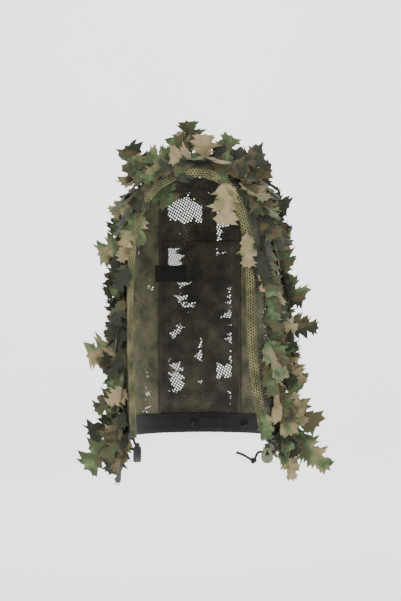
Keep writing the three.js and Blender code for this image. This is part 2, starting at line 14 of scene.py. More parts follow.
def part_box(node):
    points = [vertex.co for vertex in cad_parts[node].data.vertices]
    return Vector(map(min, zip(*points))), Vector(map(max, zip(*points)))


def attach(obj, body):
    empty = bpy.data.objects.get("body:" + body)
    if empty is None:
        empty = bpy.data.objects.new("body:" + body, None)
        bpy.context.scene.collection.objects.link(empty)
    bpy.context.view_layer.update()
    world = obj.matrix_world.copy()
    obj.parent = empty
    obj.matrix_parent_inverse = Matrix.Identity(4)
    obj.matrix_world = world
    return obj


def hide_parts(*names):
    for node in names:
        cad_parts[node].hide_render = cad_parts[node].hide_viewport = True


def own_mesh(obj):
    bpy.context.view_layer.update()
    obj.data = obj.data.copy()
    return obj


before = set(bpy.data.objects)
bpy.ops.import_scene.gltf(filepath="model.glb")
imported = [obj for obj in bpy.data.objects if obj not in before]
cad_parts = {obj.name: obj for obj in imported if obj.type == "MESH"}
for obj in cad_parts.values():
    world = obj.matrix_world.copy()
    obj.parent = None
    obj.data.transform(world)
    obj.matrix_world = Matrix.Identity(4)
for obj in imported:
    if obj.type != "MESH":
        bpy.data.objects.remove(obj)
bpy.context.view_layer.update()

logging.basicConfig(level=logging.INFO, format="%(message)s")
LOG = logging.getLogger("hood")
MM = 0.001
HOOD = "hood"
Points = np.ndarray


# ---------------------------------------------------------------- finishes
def linear(red: int, green: int, blue: int) -> tuple[float, float, float, float]:
    """Turns a display colour of 0 to 255 into the linear colour that a shader takes."""
    return tuple((c / 255) ** 2.2 for c in (red, green, blue)) + (1.0,)


def wave_scale(pitch: float) -> float:
    """Gives the scale at which a wave texture's bands repeat once in every pitch."""
    return 2 * math.pi / (20 * pitch)


class Graph:
    """A short way to write a shader as a graph of nodes."""

    def __init__(self, name: str) -> None:
        """Starts an empty material.

        Args:
            name: The material's name.
        """
        self.material = bpy.data.materials.new(name)
        self.material.use_nodes = True
        self.tree = self.material.node_tree
        self.tree.nodes.clear()

    def node(self, kind: str, props: dict | None = None, **inputs) -> bpy.types.Node:
        """Adds a node.

        Args:
            kind: The node's type without its ShaderNode prefix.
            props: Settings of the node itself.
            inputs: Values or sockets by input name, a blank written as an underscore.

        Returns:
            The new node.
        """
        made = self.tree.nodes.new("ShaderNode" + kind)
        for key, value in (props or {}).items():
            setattr(made, key, value)
        for key, value in inputs.items():
            place = int(key[1:]) if key[1:].isdigit() else key.replace("_", " ")
            socket = made.inputs[place]
            if isinstance(value, bpy.types.NodeSocket):
                self.tree.links.new(value, socket)
            else:
                socket.default_value = value
        return made

    def attribute(self, name: str) -> bpy.types.Node:
        """Reads an attribute of the mesh."""
        return self.node("Attribute", {"attribute_name": name, "attribute_type": "GEOMETRY"})

    def math(self, operation: str, a, b=0.0) -> bpy.types.NodeSocket:
        """Adds a maths node and returns its output."""
        return self.node("Math", {"operation": operation}, i0=a, i1=b).outputs[0]

    def noise(self, vector, scale: float, detail: float = 2.0, rough: float = 0.5) -> bpy.types.NodeSocket:
        """Adds a noise texture and returns its grey output."""
        made = self.node("TexNoise", None, Vector=vector, Scale=scale, Detail=detail, Roughness=rough)
        return made.outputs[0]

    def ramp(self, value, stops: Sequence[tuple[float, tuple]], mode: str = "LINEAR") -> bpy.types.NodeSocket:
        """Adds a colour ramp.

        Args:
            value: The socket that picks the colour.
            stops: Positions and colours, in order.
            mode: The ramp's interpolation.

        Returns:
            The ramp's colour output.
        """
        made = self.node("ValToRGB", None, Fac=value)
        ramp = made.color_ramp
        ramp.interpolation = mode
        while len(ramp.elements) > len(stops):
            ramp.elements.remove(ramp.elements[-1])
        while len(ramp.elements) < len(stops):
            ramp.elements.new(1.0)
        for element, (place, colour) in zip(ramp.elements, stops):
            element.position = place
            element.color = colour
        return made.outputs[0]

    def mix(self, factor, a, b, blend: str = "MIX") -> bpy.types.NodeSocket:
        """Mixes two colours and returns the result."""
        made = self.node("Mix", {"data_type": "RGBA", "blend_type": blend})
        for index, value in ((0, factor), (6, a), (7, b)):
            if isinstance(value, bpy.types.NodeSocket):
                self.tree.links.new(value, made.inputs[index])
            else:
                made.inputs[index].default_value = value
        return made.outputs[2]

    def bump(self, height, strength: float, distance: float) -> bpy.types.NodeSocket:
        """Turns a height into a normal."""
        return self.node("Bump", None, Height=height, Strength=strength, Distance=distance).outputs[0]

    def finish(self, **inputs) -> bpy.types.Material:
        """Ends the shader with a principled surface.

        Args:
            inputs: Values or sockets of the principled node.

        Returns:
            The finished material.
        """
        surface = self.node("BsdfPrincipled", None, **inputs)
        out = self.node("OutputMaterial")
        self.tree.links.new(surface.outputs[0], out.inputs[0])
        return self.material


class Print(Enum):
    """Palettes, from the darkest patch to the palest. Most are the cloth's print; the three for inner faces
    hold painted light and shade.
    """

    LEAF = ((42, 46, 31), (82, 73, 48), (62, 80, 48), (90, 108, 70), (132, 120, 86), (156, 141, 106))
    EDGE = ((46, 62, 40), (78, 84, 54), (104, 102, 66), (124, 119, 80), (138, 131, 92), (152, 144, 106))
    # Inner faces of the back and crown netting: the cloth's darker reverse side, deepened with painted shade.
    INSIDE = ((42, 41, 36), (54, 52, 44), (64, 61, 51), (74, 71, 58), (86, 82, 67), (98, 93, 77))
    # Painted shade: near-black colours for inner faces that lie in the hood's shadow.
    SHADE = ((10, 10, 9), (15, 15, 12), (20, 19, 15), (26, 28, 19), (32, 29, 22), (40, 36, 28))
    # Painted light: inner faces of the side netting, lighter than the back netting's, as yarn lit from the
    # front.
    SIDE = ((70, 72, 56), (88, 88, 68), (106, 104, 80), (120, 116, 90), (132, 126, 100), (142, 134, 108))
    TAPE = ((26, 30, 24), (44, 46, 34), (58, 62, 42), (72, 76, 54), (86, 82, 62), (96, 92, 70))
    WEBBING = ((24, 26, 20), (36, 36, 27), (46, 46, 33), (54, 54, 38), (64, 60, 44), (72, 68, 50))


@dataclass(frozen=True)
class PrintedCloth:
    """Printed cloth: soft patches of colour on a fine weave, placed by the cloth's own flat coordinates; faces
    marked as looking inwards can take a second palette of painted shade or painted light.
    """

    name: str
    palette: Print
    inner: Print | None = None
    patch: float = 20.0
    thread: float = 0.0009
    rough: float = 0.92
    spread: float = 1.0
    soft: float = 0.035

    def _stops(self, palette: Print) -> list[tuple[float, tuple]]:
        """Places the palette's colours along a ramp as patches with soft borders."""
        borders = (0.0, 0.28, 0.41, 0.51, 0.62, 0.76, 1.0)
        soft = self.soft
        stops = []
        for start, end, colour in zip(borders, borders[1:], palette.value):
            stops.append((start + soft * (start > 0), linear(*colour)))
            stops.append((end - soft * (end < 1), linear(*colour)))
        return stops

    def build(self) -> bpy.types.Material:
        """Builds the material."""
        g = Graph(self.name)
        flat = g.attribute("cloth").outputs["Vector"]
        tone = g.attribute("tone").outputs["Fac"]
        broad = g.noise(flat, self.patch, 2.5, 0.55)
        small = g.noise(flat, self.patch * 3.1, 2.0, 0.5)
        mottle = g.math("ADD", g.math("MULTIPLY", broad, 0.78), g.math("MULTIPLY", small, 0.22))
        reach = 0.3 / self.spread
        limits = {"From_Min": 0.5 - reach, "From_Max": 0.5 + reach}
        shade = g.node("MapRange", None, Value=g.math("ADD", mottle, tone), **limits).outputs[0]
        colour = g.ramp(shade, self._stops(self.palette))
        # Faces marked as looking inwards take the inner palette: painted shade on the casing, the back leaves
        # and the back netting (there over the cloth's darker reverse side), painted light on the side netting.
        if self.inner:
            side = g.attribute("side").outputs["Fac"]
            colour = g.mix(side, colour, g.ramp(shade, self._stops(self.inner)))
        fibre = g.noise(flat, 1400.0, 2.0, 0.7)
        threads = g.ramp(fibre, [(0.25, linear(70, 70, 70)), (0.75, linear(235, 235, 235))])
        colour = g.mix(0.32, colour, threads, "OVERLAY")
        weave = {"Vector": flat, "Scale": wave_scale(self.thread), "Distortion": 0.6}
        weft = g.node("TexWave", {"bands_direction": "X"}, **weave).outputs[1]
        warp = g.node("TexWave", {"bands_direction": "Y"}, **weave).outputs[1]
        height = g.math("ADD", g.math("MULTIPLY", weft, warp), g.math("MULTIPLY", fibre, 0.6))
        limits = {"To_Min": self.rough - 0.08, "To_Max": min(1.0, self.rough + 0.06)}
        rough = g.node("MapRange", None, Value=fibre, **limits).outputs[0]
        normal = g.bump(height, 0.5, 0.0003)
        return g.finish(Base_Color=colour, Roughness=rough, Normal=normal, Sheen_Weight=0.12,
                        Sheen_Roughness=0.6)


@dataclass(frozen=True)
class PlainCloth:
    """Dyed cloth or tape of one colour family, with ribs, lint and faded patches."""

    name: str
    dark: tuple[int, int, int]
    pale: tuple[int, int, int]
    rib: float = 0.0011
    lint: float = 0.25
    rough: float = 0.9

    def build(self) -> bpy.types.Material:
        """Builds the material."""
        g = Graph(self.name)
        flat = g.attribute("cloth").outputs["Vector"]
        broad = g.noise(flat, 28.0, 3.0, 0.6)
        fibre = g.noise(flat, 1600.0, 3.0, 0.75)
        colour = g.ramp(broad, [(0.3, linear(*self.dark)), (0.75, linear(*self.pale))])
        specks = g.ramp(fibre, [(0.62, linear(0, 0, 0)), (0.8, linear(150, 146, 138))])
        colour = g.mix(self.lint, colour, specks, "ADD")
        rib = g.node("TexWave", {"bands_direction": "DIAGONAL"}, Vector=flat,
                     Scale=wave_scale(self.rib), Distortion=1.0).outputs[1]
        height = g.math("ADD", rib, g.math("MULTIPLY", fibre, 0.7))
        rough = g.node("MapRange", None, Value=fibre, To_Min=self.rough - 0.1, To_Max=1.0).outputs[0]
        normal = g.bump(height, 0.6, 0.0003)
        return g.finish(Base_Color=colour, Roughness=rough, Normal=normal, Sheen_Weight=0.2)


@dataclass(frozen=True)
class Braid:
    """A braided cord: crossing strands that follow the cord, with a little lint."""

    name: str
    dark: tuple[int, int, int] = (16, 17, 20)
    pale: tuple[int, int, int] = (44, 45, 50)

    def build(self) -> bpy.types.Material:
        """Builds the material."""
        g = Graph(self.name)
        flat = g.attribute("cloth").outputs["Vector"]
        split = g.node("SeparateXYZ", None, Vector=flat)
        along = split.outputs[0]
        around = split.outputs[1]
        pitch = g.math("MULTIPLY", along, 2600.0)
        turn = g.math("MULTIPLY", around, 6.0)
        left = g.math("SINE", g.math("ADD", pitch, turn))
        right = g.math("SINE", g.math("SUBTRACT", pitch, turn))
        strands = g.math("MAXIMUM", left, right)
        fibre = g.noise(g.node("TexCoord").outputs["Object"], 2600.0, 2.0, 0.7)
        shade = g.math("ADD", g.math("MULTIPLY", strands, 0.35), g.math("MULTIPLY", fibre, 0.7))
        colour = g.ramp(shade, [(0.1, linear(*self.dark)), (0.8, linear(*self.pale))])
        height = g.math("ADD", strands, g.math("MULTIPLY", fibre, 0.5))
        rough = g.node("MapRange", None, Value=fibre, To_Min=0.62, To_Max=0.85).outputs[0]
        return g.finish(Base_Color=colour, Roughness=rough, Normal=g.bump(height, 0.7, 0.0003))


@dataclass(frozen=True)
class Moulded:
    """Moulded plastic or lacquer: fine grain, faint flow clouds and worn, paler scuffs."""

    name: str
    base: tuple[int, int, int]
    worn: tuple[int, int, int]
    rough: float = 0.42
    metal: float = 0.0
    grain: float = 2400.0

    def build(self) -> bpy.types.Material:
        """Builds the material."""
        g = Graph(self.name)
        place = g.node("TexCoord").outputs["Object"]
        cloud = g.noise(place, 240.0, 3.0, 0.6)
        grain = g.noise(place, self.grain, 2.0, 0.6)
        scuff = g.node("TexNoise", None, Vector=place, Scale=700.0, Detail=6.0, Roughness=0.8,
                       Distortion=1.2).outputs[0]
        colour = g.ramp(cloud, [(0.3, linear(*self.base)), (0.9, linear(*self.worn))])
        marks = g.ramp(scuff, [(0.6, (0, 0, 0, 1)), (0.7, (1, 1, 1, 1))])
        colour = g.mix(g.math("MULTIPLY", marks, 0.5), colour, linear(*self.worn))
        limits = {"To_Min": self.rough - 0.1, "To_Max": self.rough + 0.25}
        rough = g.node("MapRange", None, Value=scuff, **limits).outputs[0]
        normal = g.bump(g.math("ADD", grain, g.math("MULTIPLY", scuff, 0.6)), 0.25, 0.0002)
        return g.finish(Base_Color=colour, Roughness=rough, Normal=normal, Metallic=self.metal)


# ---------------------------------------------------------------- the shell's surface
@dataclass(frozen=True)
class HoodForm:
    """The hood's shell, with its sizes taken from the CAD panels."""

    crown: float
    base: float
    hem: float
    half_width: float
    half_depth: float
    drift: float
    flare: float = 8 * MM
    net: float = 1.2 * MM
    fold: float = 2.4 * MM

    @classmethod
    def from_frame(cls) -> "HoodForm":
        """Reads the sizes from the boxes of the net panels."""
        back_low, back_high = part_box("back_net")
        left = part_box("left_side_net")[1].x
        right = -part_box("right_side_net")[0].x
        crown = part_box("crown_front_net")[1].z - cls.net
        half = (left + right) / 2 - cls.flare - cls.net
        deep = back_high.y - cls.flare - cls.net
        return cls(crown, back_high.z, back_low.z, half, deep, (left - right) / 2)

    @property
    def rise(self) -> float:
        """Height of the dome above its base."""
        return self.crown - self.base

    def section(self, z: Points) -> tuple[Points, Points, Points]:
        """Gives the body's section below the dome.

        Args:
            z: Heights.

        Returns:
            The section's centre, half width and half depth at each height.
        """
        drop = np.clip((self.base - z) / (self.base - self.hem), 0, None)
        return self.drift * drop, self.half_width + self.flare * drop, self.half_depth + self.flare * drop

    def folds(self, angle: Points, z: Points) -> Points:
        """Gives how far the hanging cloth stands in or out, nothing on the dome and at the hem."""
        down = np.clip((self.base - z) / 0.10, 0, 1)
        up = np.clip((z - self.hem - 0.045) / 0.06, 0, 1)
        wave = np.sin(6 * angle + 1.2 * np.sin(11 * z) + 0.4) + 0.5 * np.sin(13 * angle - 16 * z + 1.1)
        return self.fold * 0.55 * wave * down * up

    def wall(self, angle: Points, z: Points, offset: Points | float = 0.0) -> Points:
        """Gives points of the body's wall.

        Args:
            angle: Angle round the shell, 0 at +X and a quarter turn at the back.
            z: Heights.
            offset: Distance outwards from the inside of the netting.

        Returns:
            An array of points.
        """
        angle, z = np.broadcast_arrays(np.asarray(angle, float), np.asarray(z, float))
        offset = offset + self.folds(angle, z)
        centre, across, deep = self.section(z)
        up = np.clip((z - self.base) / (self.rise + offset), 0, 1)
        shrink = np.sqrt(np.clip(1 - up * up, 0, 1))
        x = centre + (across + offset) * shrink * np.cos(angle)
        return np.stack([x, (deep + offset) * shrink * np.sin(angle), z], -1)

    def behind(self, x: float, z: float, offset: float, side: int) -> np.ndarray:
        """Gives the wall point through a place of the face view, in front (-1) or at the back (1)."""
        angle = self.angle_at(x, z)
        return self.wall(np.array(side * angle), np.array(z), offset)

    def angle_at(self, x: float, z: float) -> float:
        """Gives the angle of the back wall at a distance to the side."""
        centre, across, _ = self.section(np.array(z))
        up = min(1.0, max(0.0, (z - self.base) / self.rise))
        reach = float(across) * math.sqrt(1 - up * up)
        return math.acos(max(-1.0, min(1.0, (x - float(centre)) / max(reach, 1e-6))))

    def normal(self, point: Sequence[float]) -> Vector:
        """Gives the direction straight out of the shell near a point."""
        z = min(point[2], self.base)
        centre, across, deep = (float(v) for v in self.section(np.array(z)))
        up = max(0.0, point[2] - self.base) / self.rise**2
        return Vector(((point[0] - centre) / across**2, point[1] / deep**2, up)).normalized()


FORM = HoodForm.from_frame()

# The casing's centre line in the face view, in millimetres, from the wearer's right hem up and over.
HEM_MM = FORM.hem / MM
FACE_EDGE = (
    (-100, HEM_MM + 2), (-103, -370), (-104, -290), (-104, -210), (-101, -150), (-93, -105), (-78, -72),
    (-58, -51), (-34, -39), (-8, -35), (18, -39), (40, -53), (56, -78), (67, -112), (73, -150), (76, -210),
    (77, -290), (85, -360), (98, HEM_MM + 2),
)


def smooth_path(points: Sequence[Sequence[float]], step: float) -> np.ndarray:
    """Runs a smooth curve through points and samples it evenly.

    Args:
        points: The points to pass through.
        step: Distance between samples.

    Returns:
        The samples, the first and last points among them.
    """
    p = np.array(points, float)
    ends = np.vstack([2 * p[0] - p[1], p, 2 * p[-1] - p[-2]])
    dense = []
    for i in range(1, len(ends) - 2):
        a, b, c, d = ends[i - 1 : i + 3]
        for t in np.linspace(0, 1, 24, endpoint=False):
            square = (2 * a - 5 * b + 4 * c - d) * t**2
            cube = (3 * b - a - 3 * c + d) * t**3
            dense.append(0.5 * (2 * b + (c - a) * t + square + cube))
    dense.append(p[-1])
    dense = np.array(dense)
    walked = np.concatenate([[0], np.cumsum(np.linalg.norm(np.diff(dense, axis=0), axis=1))])
    places = np.linspace(0, walked[-1], max(2, round(walked[-1] / step) + 1))
    return np.stack([np.interp(places, walked, dense[:, k]) for k in range(3)], -1)


class FaceEdge:
    """The edge of the face opening, with its frames along the casing."""

    def __init__(self, step: float = 4.6 * MM) -> None:
        """Samples the edge.

        Args:
            step: Distance between samples.
        """
        route = [FORM.behind(x * MM, z * MM, FORM.net / 2, -1) for x, z in FACE_EDGE]
        self.step = step
        self.points = smooth_path(route, step)
        self.along = np.gradient(self.points, axis=0)
        self.along /= np.linalg.norm(self.along, axis=1)[:, None]
        out = np.array([FORM.normal(p) for p in self.points])
        out -= self.along * np.sum(out * self.along, axis=1)[:, None]
        self.out = out / np.linalg.norm(out, axis=1)[:, None]
        self.across = np.cross(self.along, self.out)

    def nearest(self, places: Points) -> Points:
        """Gives the centre line's point nearest to each place."""
        found = [np.argmin(np.sum((self.points - p) ** 2, axis=1)) for p in places]
        return self.points[found]

    def distance(self, places: Points) -> Points:
        """Gives each place's distance to the casing's centre line."""
        return np.min(np.linalg.norm(places[:, None, :] - self.points[None, ::2, :], axis=2), axis=1)

    def in_opening(self, places: Points) -> Points:
        """Tells which places lie in the face opening: in front, and inside the edge in the face view."""
        x, z = places[:, 0], places[:, 2]
        below = FORM.hem - 0.1
        edge_x = np.append(self.points[:, 0], [self.points[-1, 0], self.points[0, 0]])
        edge_z = np.append(self.points[:, 2], [below, below])
        inside = np.zeros(len(x), bool)
        for i in range(len(edge_x)):
            j = i - 1
            crosses = (edge_z[i] > z) != (edge_z[j] > z)
            slope = (edge_x[j] - edge_x[i]) / (edge_z[j] - edge_z[i] + 1e-12)
            inside ^= crosses & (x < slope * (z - edge_z[i]) + edge_x[i])
        return inside & (places[:, 1] < 0)


EDGE = FaceEdge()


# ---------------------------------------------------------------- making meshes
def make_object(name: str, verts: Iterable, faces: Iterable,
                material: bpy.types.Material) -> bpy.types.Object:
    """Makes a mesh object at the origin.

    Args:
        name: The object's name.
        verts: Its vertices.
        faces: Its faces.
        material: Its finish.

    Returns:
        The object, linked to the scene.
    """
    mesh = bpy.data.meshes.new(name)
    mesh.from_pydata([tuple(v) for v in verts], [], [tuple(f) for f in faces])
    mesh.materials.append(material)
    mesh.update()
    made = bpy.data.objects.new(name, mesh)
    bpy.context.scene.collection.objects.link(made)
    return made


def select_only(piece: bpy.types.Object) -> None:
    """Makes one object the active one and the only one selected."""
    for other in bpy.context.selected_objects:
        other.select_set(False)
    piece.select_set(True)
    bpy.context.view_layer.objects.active = piece


def apply_modifiers(piece: bpy.types.Object) -> None:
    """Applies every modifier of a piece in order."""
    select_only(piece)
    for modifier in list(piece.modifiers):
        bpy.ops.object.modifier_apply(modifier=modifier.name)


def thicken(piece: bpy.types.Object, thickness: float, offset: float = 0.0) -> None:
    """Gives a sheet its thickness.

    Args:
        piece: The sheet.
        thickness: Its thickness.
        offset: Where the given surface lies: 1 at the outside, -1 at the inside.
    """
    count = len(piece.data.polygons)
    wall = piece.modifiers.new("thickness", "SOLIDIFY")
    wall.thickness = thickness
    wall.offset = offset
    wall.use_even_offset = False
    apply_modifiers(piece)
    baked = piece.data.uv_layers.get("OFBake")
    if baked:
        shift_inner_side(piece.data, baked, count)


def shift_inner_side(mesh: bpy.types.Mesh, layer: bpy.types.MeshUVLoopLayer, count: int) -> None:
    """Gives a thickened sheet's inner side the right half of the map and its outer side the left half."""
    uv = np.zeros(len(mesh.loops) * 2, np.float32)
    layer.data.foreach_get("uv", uv)
    uv = uv.reshape(-1, 2)
    uv[:, 0] *= 0.5
    first = mesh.polygons[count].loop_start
    last = mesh.polygons[2 * count - 1]
    uv[first : last.loop_start + last.loop_total, 0] += 0.5
    layer.data.foreach_set("uv", uv.ravel())


def cloth_marks(piece: bpy.types.Object, flat: Points, tone: Points | float = 0.0) -> None:
    """Stores the cloth's flat coordinates and its tone.

    Args:
        piece: The piece.
        flat: Flat coordinates of each vertex, or of each corner of the faces, in metres.
        tone: Shift of the print's shade, for the piece or at each vertex.
    """
    mesh = piece.data
    flat = np.asarray(flat, np.float32)
    if flat.shape[1] == 2:
        flat = np.column_stack([flat, np.zeros(len(flat), np.float32)])
    domain = "POINT" if len(flat) == len(mesh.vertices) else "CORNER"
    marks = mesh.attributes.new("cloth", "FLOAT_VECTOR", domain)
    marks.data.foreach_set("vector", flat.ravel().astype(np.float32))
    tones = np.broadcast_to(np.asarray(tone, np.float32), len(mesh.vertices)).astype(np.float32)
    mesh.attributes.new("tone", "FLOAT", "POINT").data.foreach_set("value", tones)


def bake_map(piece: bpy.types.Object, flat: Points) -> None:
    """Gives a piece a clean map for baking, from flat coordinates of its vertices or corners."""
    if len(flat) == len(piece.data.vertices):
        index = np.zeros(len(piece.data.loops), np.int32)
        piece.data.loops.foreach_get("vertex_index", index)
        flat = flat[index]
    low = flat.min(0)
    span = np.maximum(flat.max(0) - low, 1e-6)
    layer = piece.data.uv_layers.new(name="OFBake")
    unit = 0.01 + 0.98 * (flat - low) / span
    layer.data.foreach_set("uv", unit[:, :2].astype(np.float32).ravel())


def mark_sides(piece: bpy.types.Object, outward: Callable[[Points], Points]) -> None:
    """Marks the faces of a sheet that look inwards, which the finish's inner palette paints with shade or
    light.

    Args:
        piece: The thickened sheet.
        outward: Gives the way out at each face's centre.
    """
    count = len(piece.data.polygons)
    normals = np.zeros(count * 3, np.float32)
    centres = np.zeros(count * 3, np.float32)
    piece.data.polygons.foreach_get("normal", normals)
    piece.data.polygons.foreach_get("center", centres)
    inward = np.sum(normals.reshape(-1, 3) * outward(centres.reshape(-1, 3)), axis=1) < 0
    side = piece.data.attributes.new("side", "FLOAT", "FACE")
    side.data.foreach_set("value", inward.astype(np.float32))


def smooth(piece: bpy.types.Object) -> None:
    """Shades a piece smooth."""
    piece.data.polygons.foreach_set("use_smooth", [True] * len(piece.data.polygons))


def grid_faces(columns: int, rows: int) -> list[tuple[int, int, int, int]]:
    """Gives the faces of a grid whose points run along its rows."""
    return [(r * columns + c, r * columns + c + 1, (r + 1) * columns + c + 1, (r + 1) * columns + c)
            for r in range(rows - 1) for c in range(columns - 1)]


def mesh_area(piece: bpy.types.Object) -> float:
    """Adds up the area of a piece's faces."""
    return sum(p.area for p in piece.data.polygons)


def settle(piece: bpy.types.Object, body: str, nodes: Sequence[str] = ()) -> None:
    """Makes a piece ride on its body and hides the CAD nodes it stands for."""
    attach(piece, body)
    if nodes:
        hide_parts(*nodes)
    LOG.info("%s: %d faces", piece.name, len(piece.data.polygons))


# ---------------------------------------------------------------- netting
@dataclass(frozen=True)
class Knit:
    """The mesh cloth's lattice of holes."""

    pitch: float = 5.0 * MM
    row: float = 3.1 * MM
    hole: float = 1.26 * MM
    tall: float = 1.18 * MM
    yarn: float = 0.6 * MM

    @property
    def shoulder(self) -> float:
        """Half the straight side of a cell."""
        return self.row / 2 - (self.pitch / 2) ** 2 / (2 * self.row)

    def cell(self, i: int, j: int) -> list[tuple[int, int, int]]:
        """Names the six corners of a cell, shared with its neighbours.

        Args:
            i: Column.
            j: Row.

        Returns:
            Keys of half column, row and kind, counterclockwise from the top.
        """
        c = 2 * i + (j & 1)
        return [(c, j, 1), (c - 1, j, 0), (c - 1, j - 1, 1), (c, j - 1, 0), (c + 1, j - 1, 1), (c + 1, j, 0)]

    def place(self, key: tuple[int, int, int]) -> tuple[float, float]:
        """Gives a corner's flat place."""
        c, j, kind = key
        return c * self.pitch / 2, j * self.row + (self.row - self.shoulder if kind else self.shoulder)

    def rim(self) -> list[tuple[float, float]]:
        """Gives the hole's corners round the cell's middle, in the order of the cell's corners."""
        x, y, s = self.hole, self.tall, self.tall * 0.36
        return [(0, y), (-x, s), (-x, -s), (0, -y), (x, -s), (x, s)]


class Panel(Enum):
    """How a panel's flat cloth lies on the shell."""

    CENTRE = 0
    LEFT = 1
    RIGHT = -1


def lay(panel: Panel, u: Points, v: Points, offset: float = 0.0) -> Points:
    """Lays flat cloth on the shell.

    Args:
        panel: The panel.
        u: Places across, 0 at the panel's middle.
        v: Places up from the dome's base.
        offset: Distance outwards.

    Returns:
        The points in space.
    """
    f = FORM
    z = f.base + np.minimum(v, 0)
    centre, across, deep = f.section(z)
    turn = u / f.half_width
    rise = np.maximum(v, 0)
    if panel is Panel.CENTRE:
        angle = math.pi / 2 - turn
        off = offset + f.folds(angle, z)
        over = math.pi / 2 - rise / ((f.rise + f.half_depth) / 2)
        x = centre + (across + off) * np.sin(turn)
        y = (deep + off) * np.cos(turn) * np.sin(over)
        up = (f.rise + off) * np.cos(turn) * np.cos(over)
        return np.stack([x, y, z + np.where(v > 0, up, 0)], -1)
    angle = turn if panel is Panel.LEFT else math.pi - turn
    off = offset + f.folds(angle, z)
    lean = rise / ((f.half_width + f.rise) / 2)
    x = centre + panel.value * (across + off) * np.cos(turn) * np.cos(lean)
    up = (f.rise + off) * np.cos(turn) * np.sin(lean)
    return np.stack([x, (deep + off) * np.sin(turn), z + np.where(v > 0, up, 0)], -1)


@dataclass
class NetPanel:
    """One panel of netting."""

    node: str
    panel: Panel
    low: tuple[float, float]
    high: tuple[float, float]
    keep: Callable[[Points], Points]
    finish: bpy.types.Material
    nodes: tuple[str, ...] = ()
    tilt: float = math.radians(14)
    knit: Knit = field(default_factory=Knit)
    casing_gap: float = 5.2 * MM
    print_apart: float = 0.37
    area: float = 0.0
    size: tuple[float, float] = (0.0, 0.0)
    made: bpy.types.Object | None = None

    def _warp(self, flat: Points) -> Points:
        """Pulls the lattice about a little, as hanging mesh is pulled."""
        u, v = flat[:, 0], flat[:, 1]
        pull = 0.9 * MM
        du = pull * (np.sin(41 * v + 3 * np.sin(23 * u)) + 0.6 * np.sin(77 * u + 60 * v))
        dv = pull * (np.sin(37 * u + 2 * np.sin(29 * v)) + 0.6 * np.sin(90 * v - 50 * u))
        c, s = math.cos(self.tilt), math.sin(self.tilt)
        turn = np.array([[c, -s], [s, c]])
        return (flat + np.column_stack([du, dv])) @ turn.T

    def build(self) -> bpy.types.Object:
        """Knits the panel, lays it on the shell and dresses it."""
        k = self.knit
        reach = max(abs(c) for c in (*self.low, *self.high)) * 1.25
        columns, rows = round(reach / k.pitch), round(reach / k.row)
        cells = [(i, j) for j in range(-rows, rows + 1) for i in range(-columns, columns + 1)]
        middles = np.array([((i + 0.5 * (j & 1)) * k.pitch, j * k.row) for i, j in cells])
        flat = self._warp(middles)
        inside = np.all((flat > self.low) & (flat < self.high), axis=1)
        wall = lay(self.panel, flat[:, 0], flat[:, 1])
        inside &= self.keep(wall) & ~EDGE.in_opening(wall)
        near = np.where(inside)[0]
        inside[near] &= EDGE.distance(wall[near]) > self.casing_gap
        corners: dict[tuple[int, int, int], int] = {}
        places: list[tuple[float, float]] = []
        faces: list[tuple[int, ...]] = []
        for index in np.where(inside)[0]:
            ring = []
            for key in k.cell(*cells[index]):
                if key not in corners:
                    corners[key] = len(places)
                    places.append(k.place(key))
                ring.append(corners[key])
            x, y = middles[index]
            start = len(places)
            places.extend((x + dx, y + dy) for dx, dy in k.rim())
            faces.extend((ring[n], ring[(n + 1) % 6], start + (n + 1) % 6, start + n) for n in range(6))
        flat = self._warp(np.array(places))
        verts = lay(self.panel, flat[:, 0], flat[:, 1], FORM.net / 2)
        made = make_object(self.node + "_cloth", verts, faces, self.finish)
        if self._inward(made):
            made.data.flip_normals()
        cloth_marks(made, flat + np.array([self.print_apart * self.panel.value, 0.0]))
        bake_map(made, flat)
        self.area = mesh_area(made)
        self.size = tuple(float(v) for v in np.ptp(flat, axis=0))
        thicken(made, k.yarn)
        # Inner faces take painted shade on the back and crown netting, over the cloth's darker reverse side,
        # and painted light on the side netting.
        mark_sides(made, lambda centres: np.maximum(centres - [0, 0, FORM.base - 0.02], [-9, -9, 0]))
        smooth(made)
        settle(made, HOOD, self.nodes or (self.node,))
        self.made = made
        return made

    def declare(self, with_pieces: Sequence[bpy.types.Object]) -> None:
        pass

    def _inward(self, made: bpy.types.Object) -> bool:
        """Tells whether the panel's faces point into the hood."""
        face = made.data.polygons[len(made.data.polygons) // 2]
        return face.normal.dot(FORM.normal(face.center)) < 0


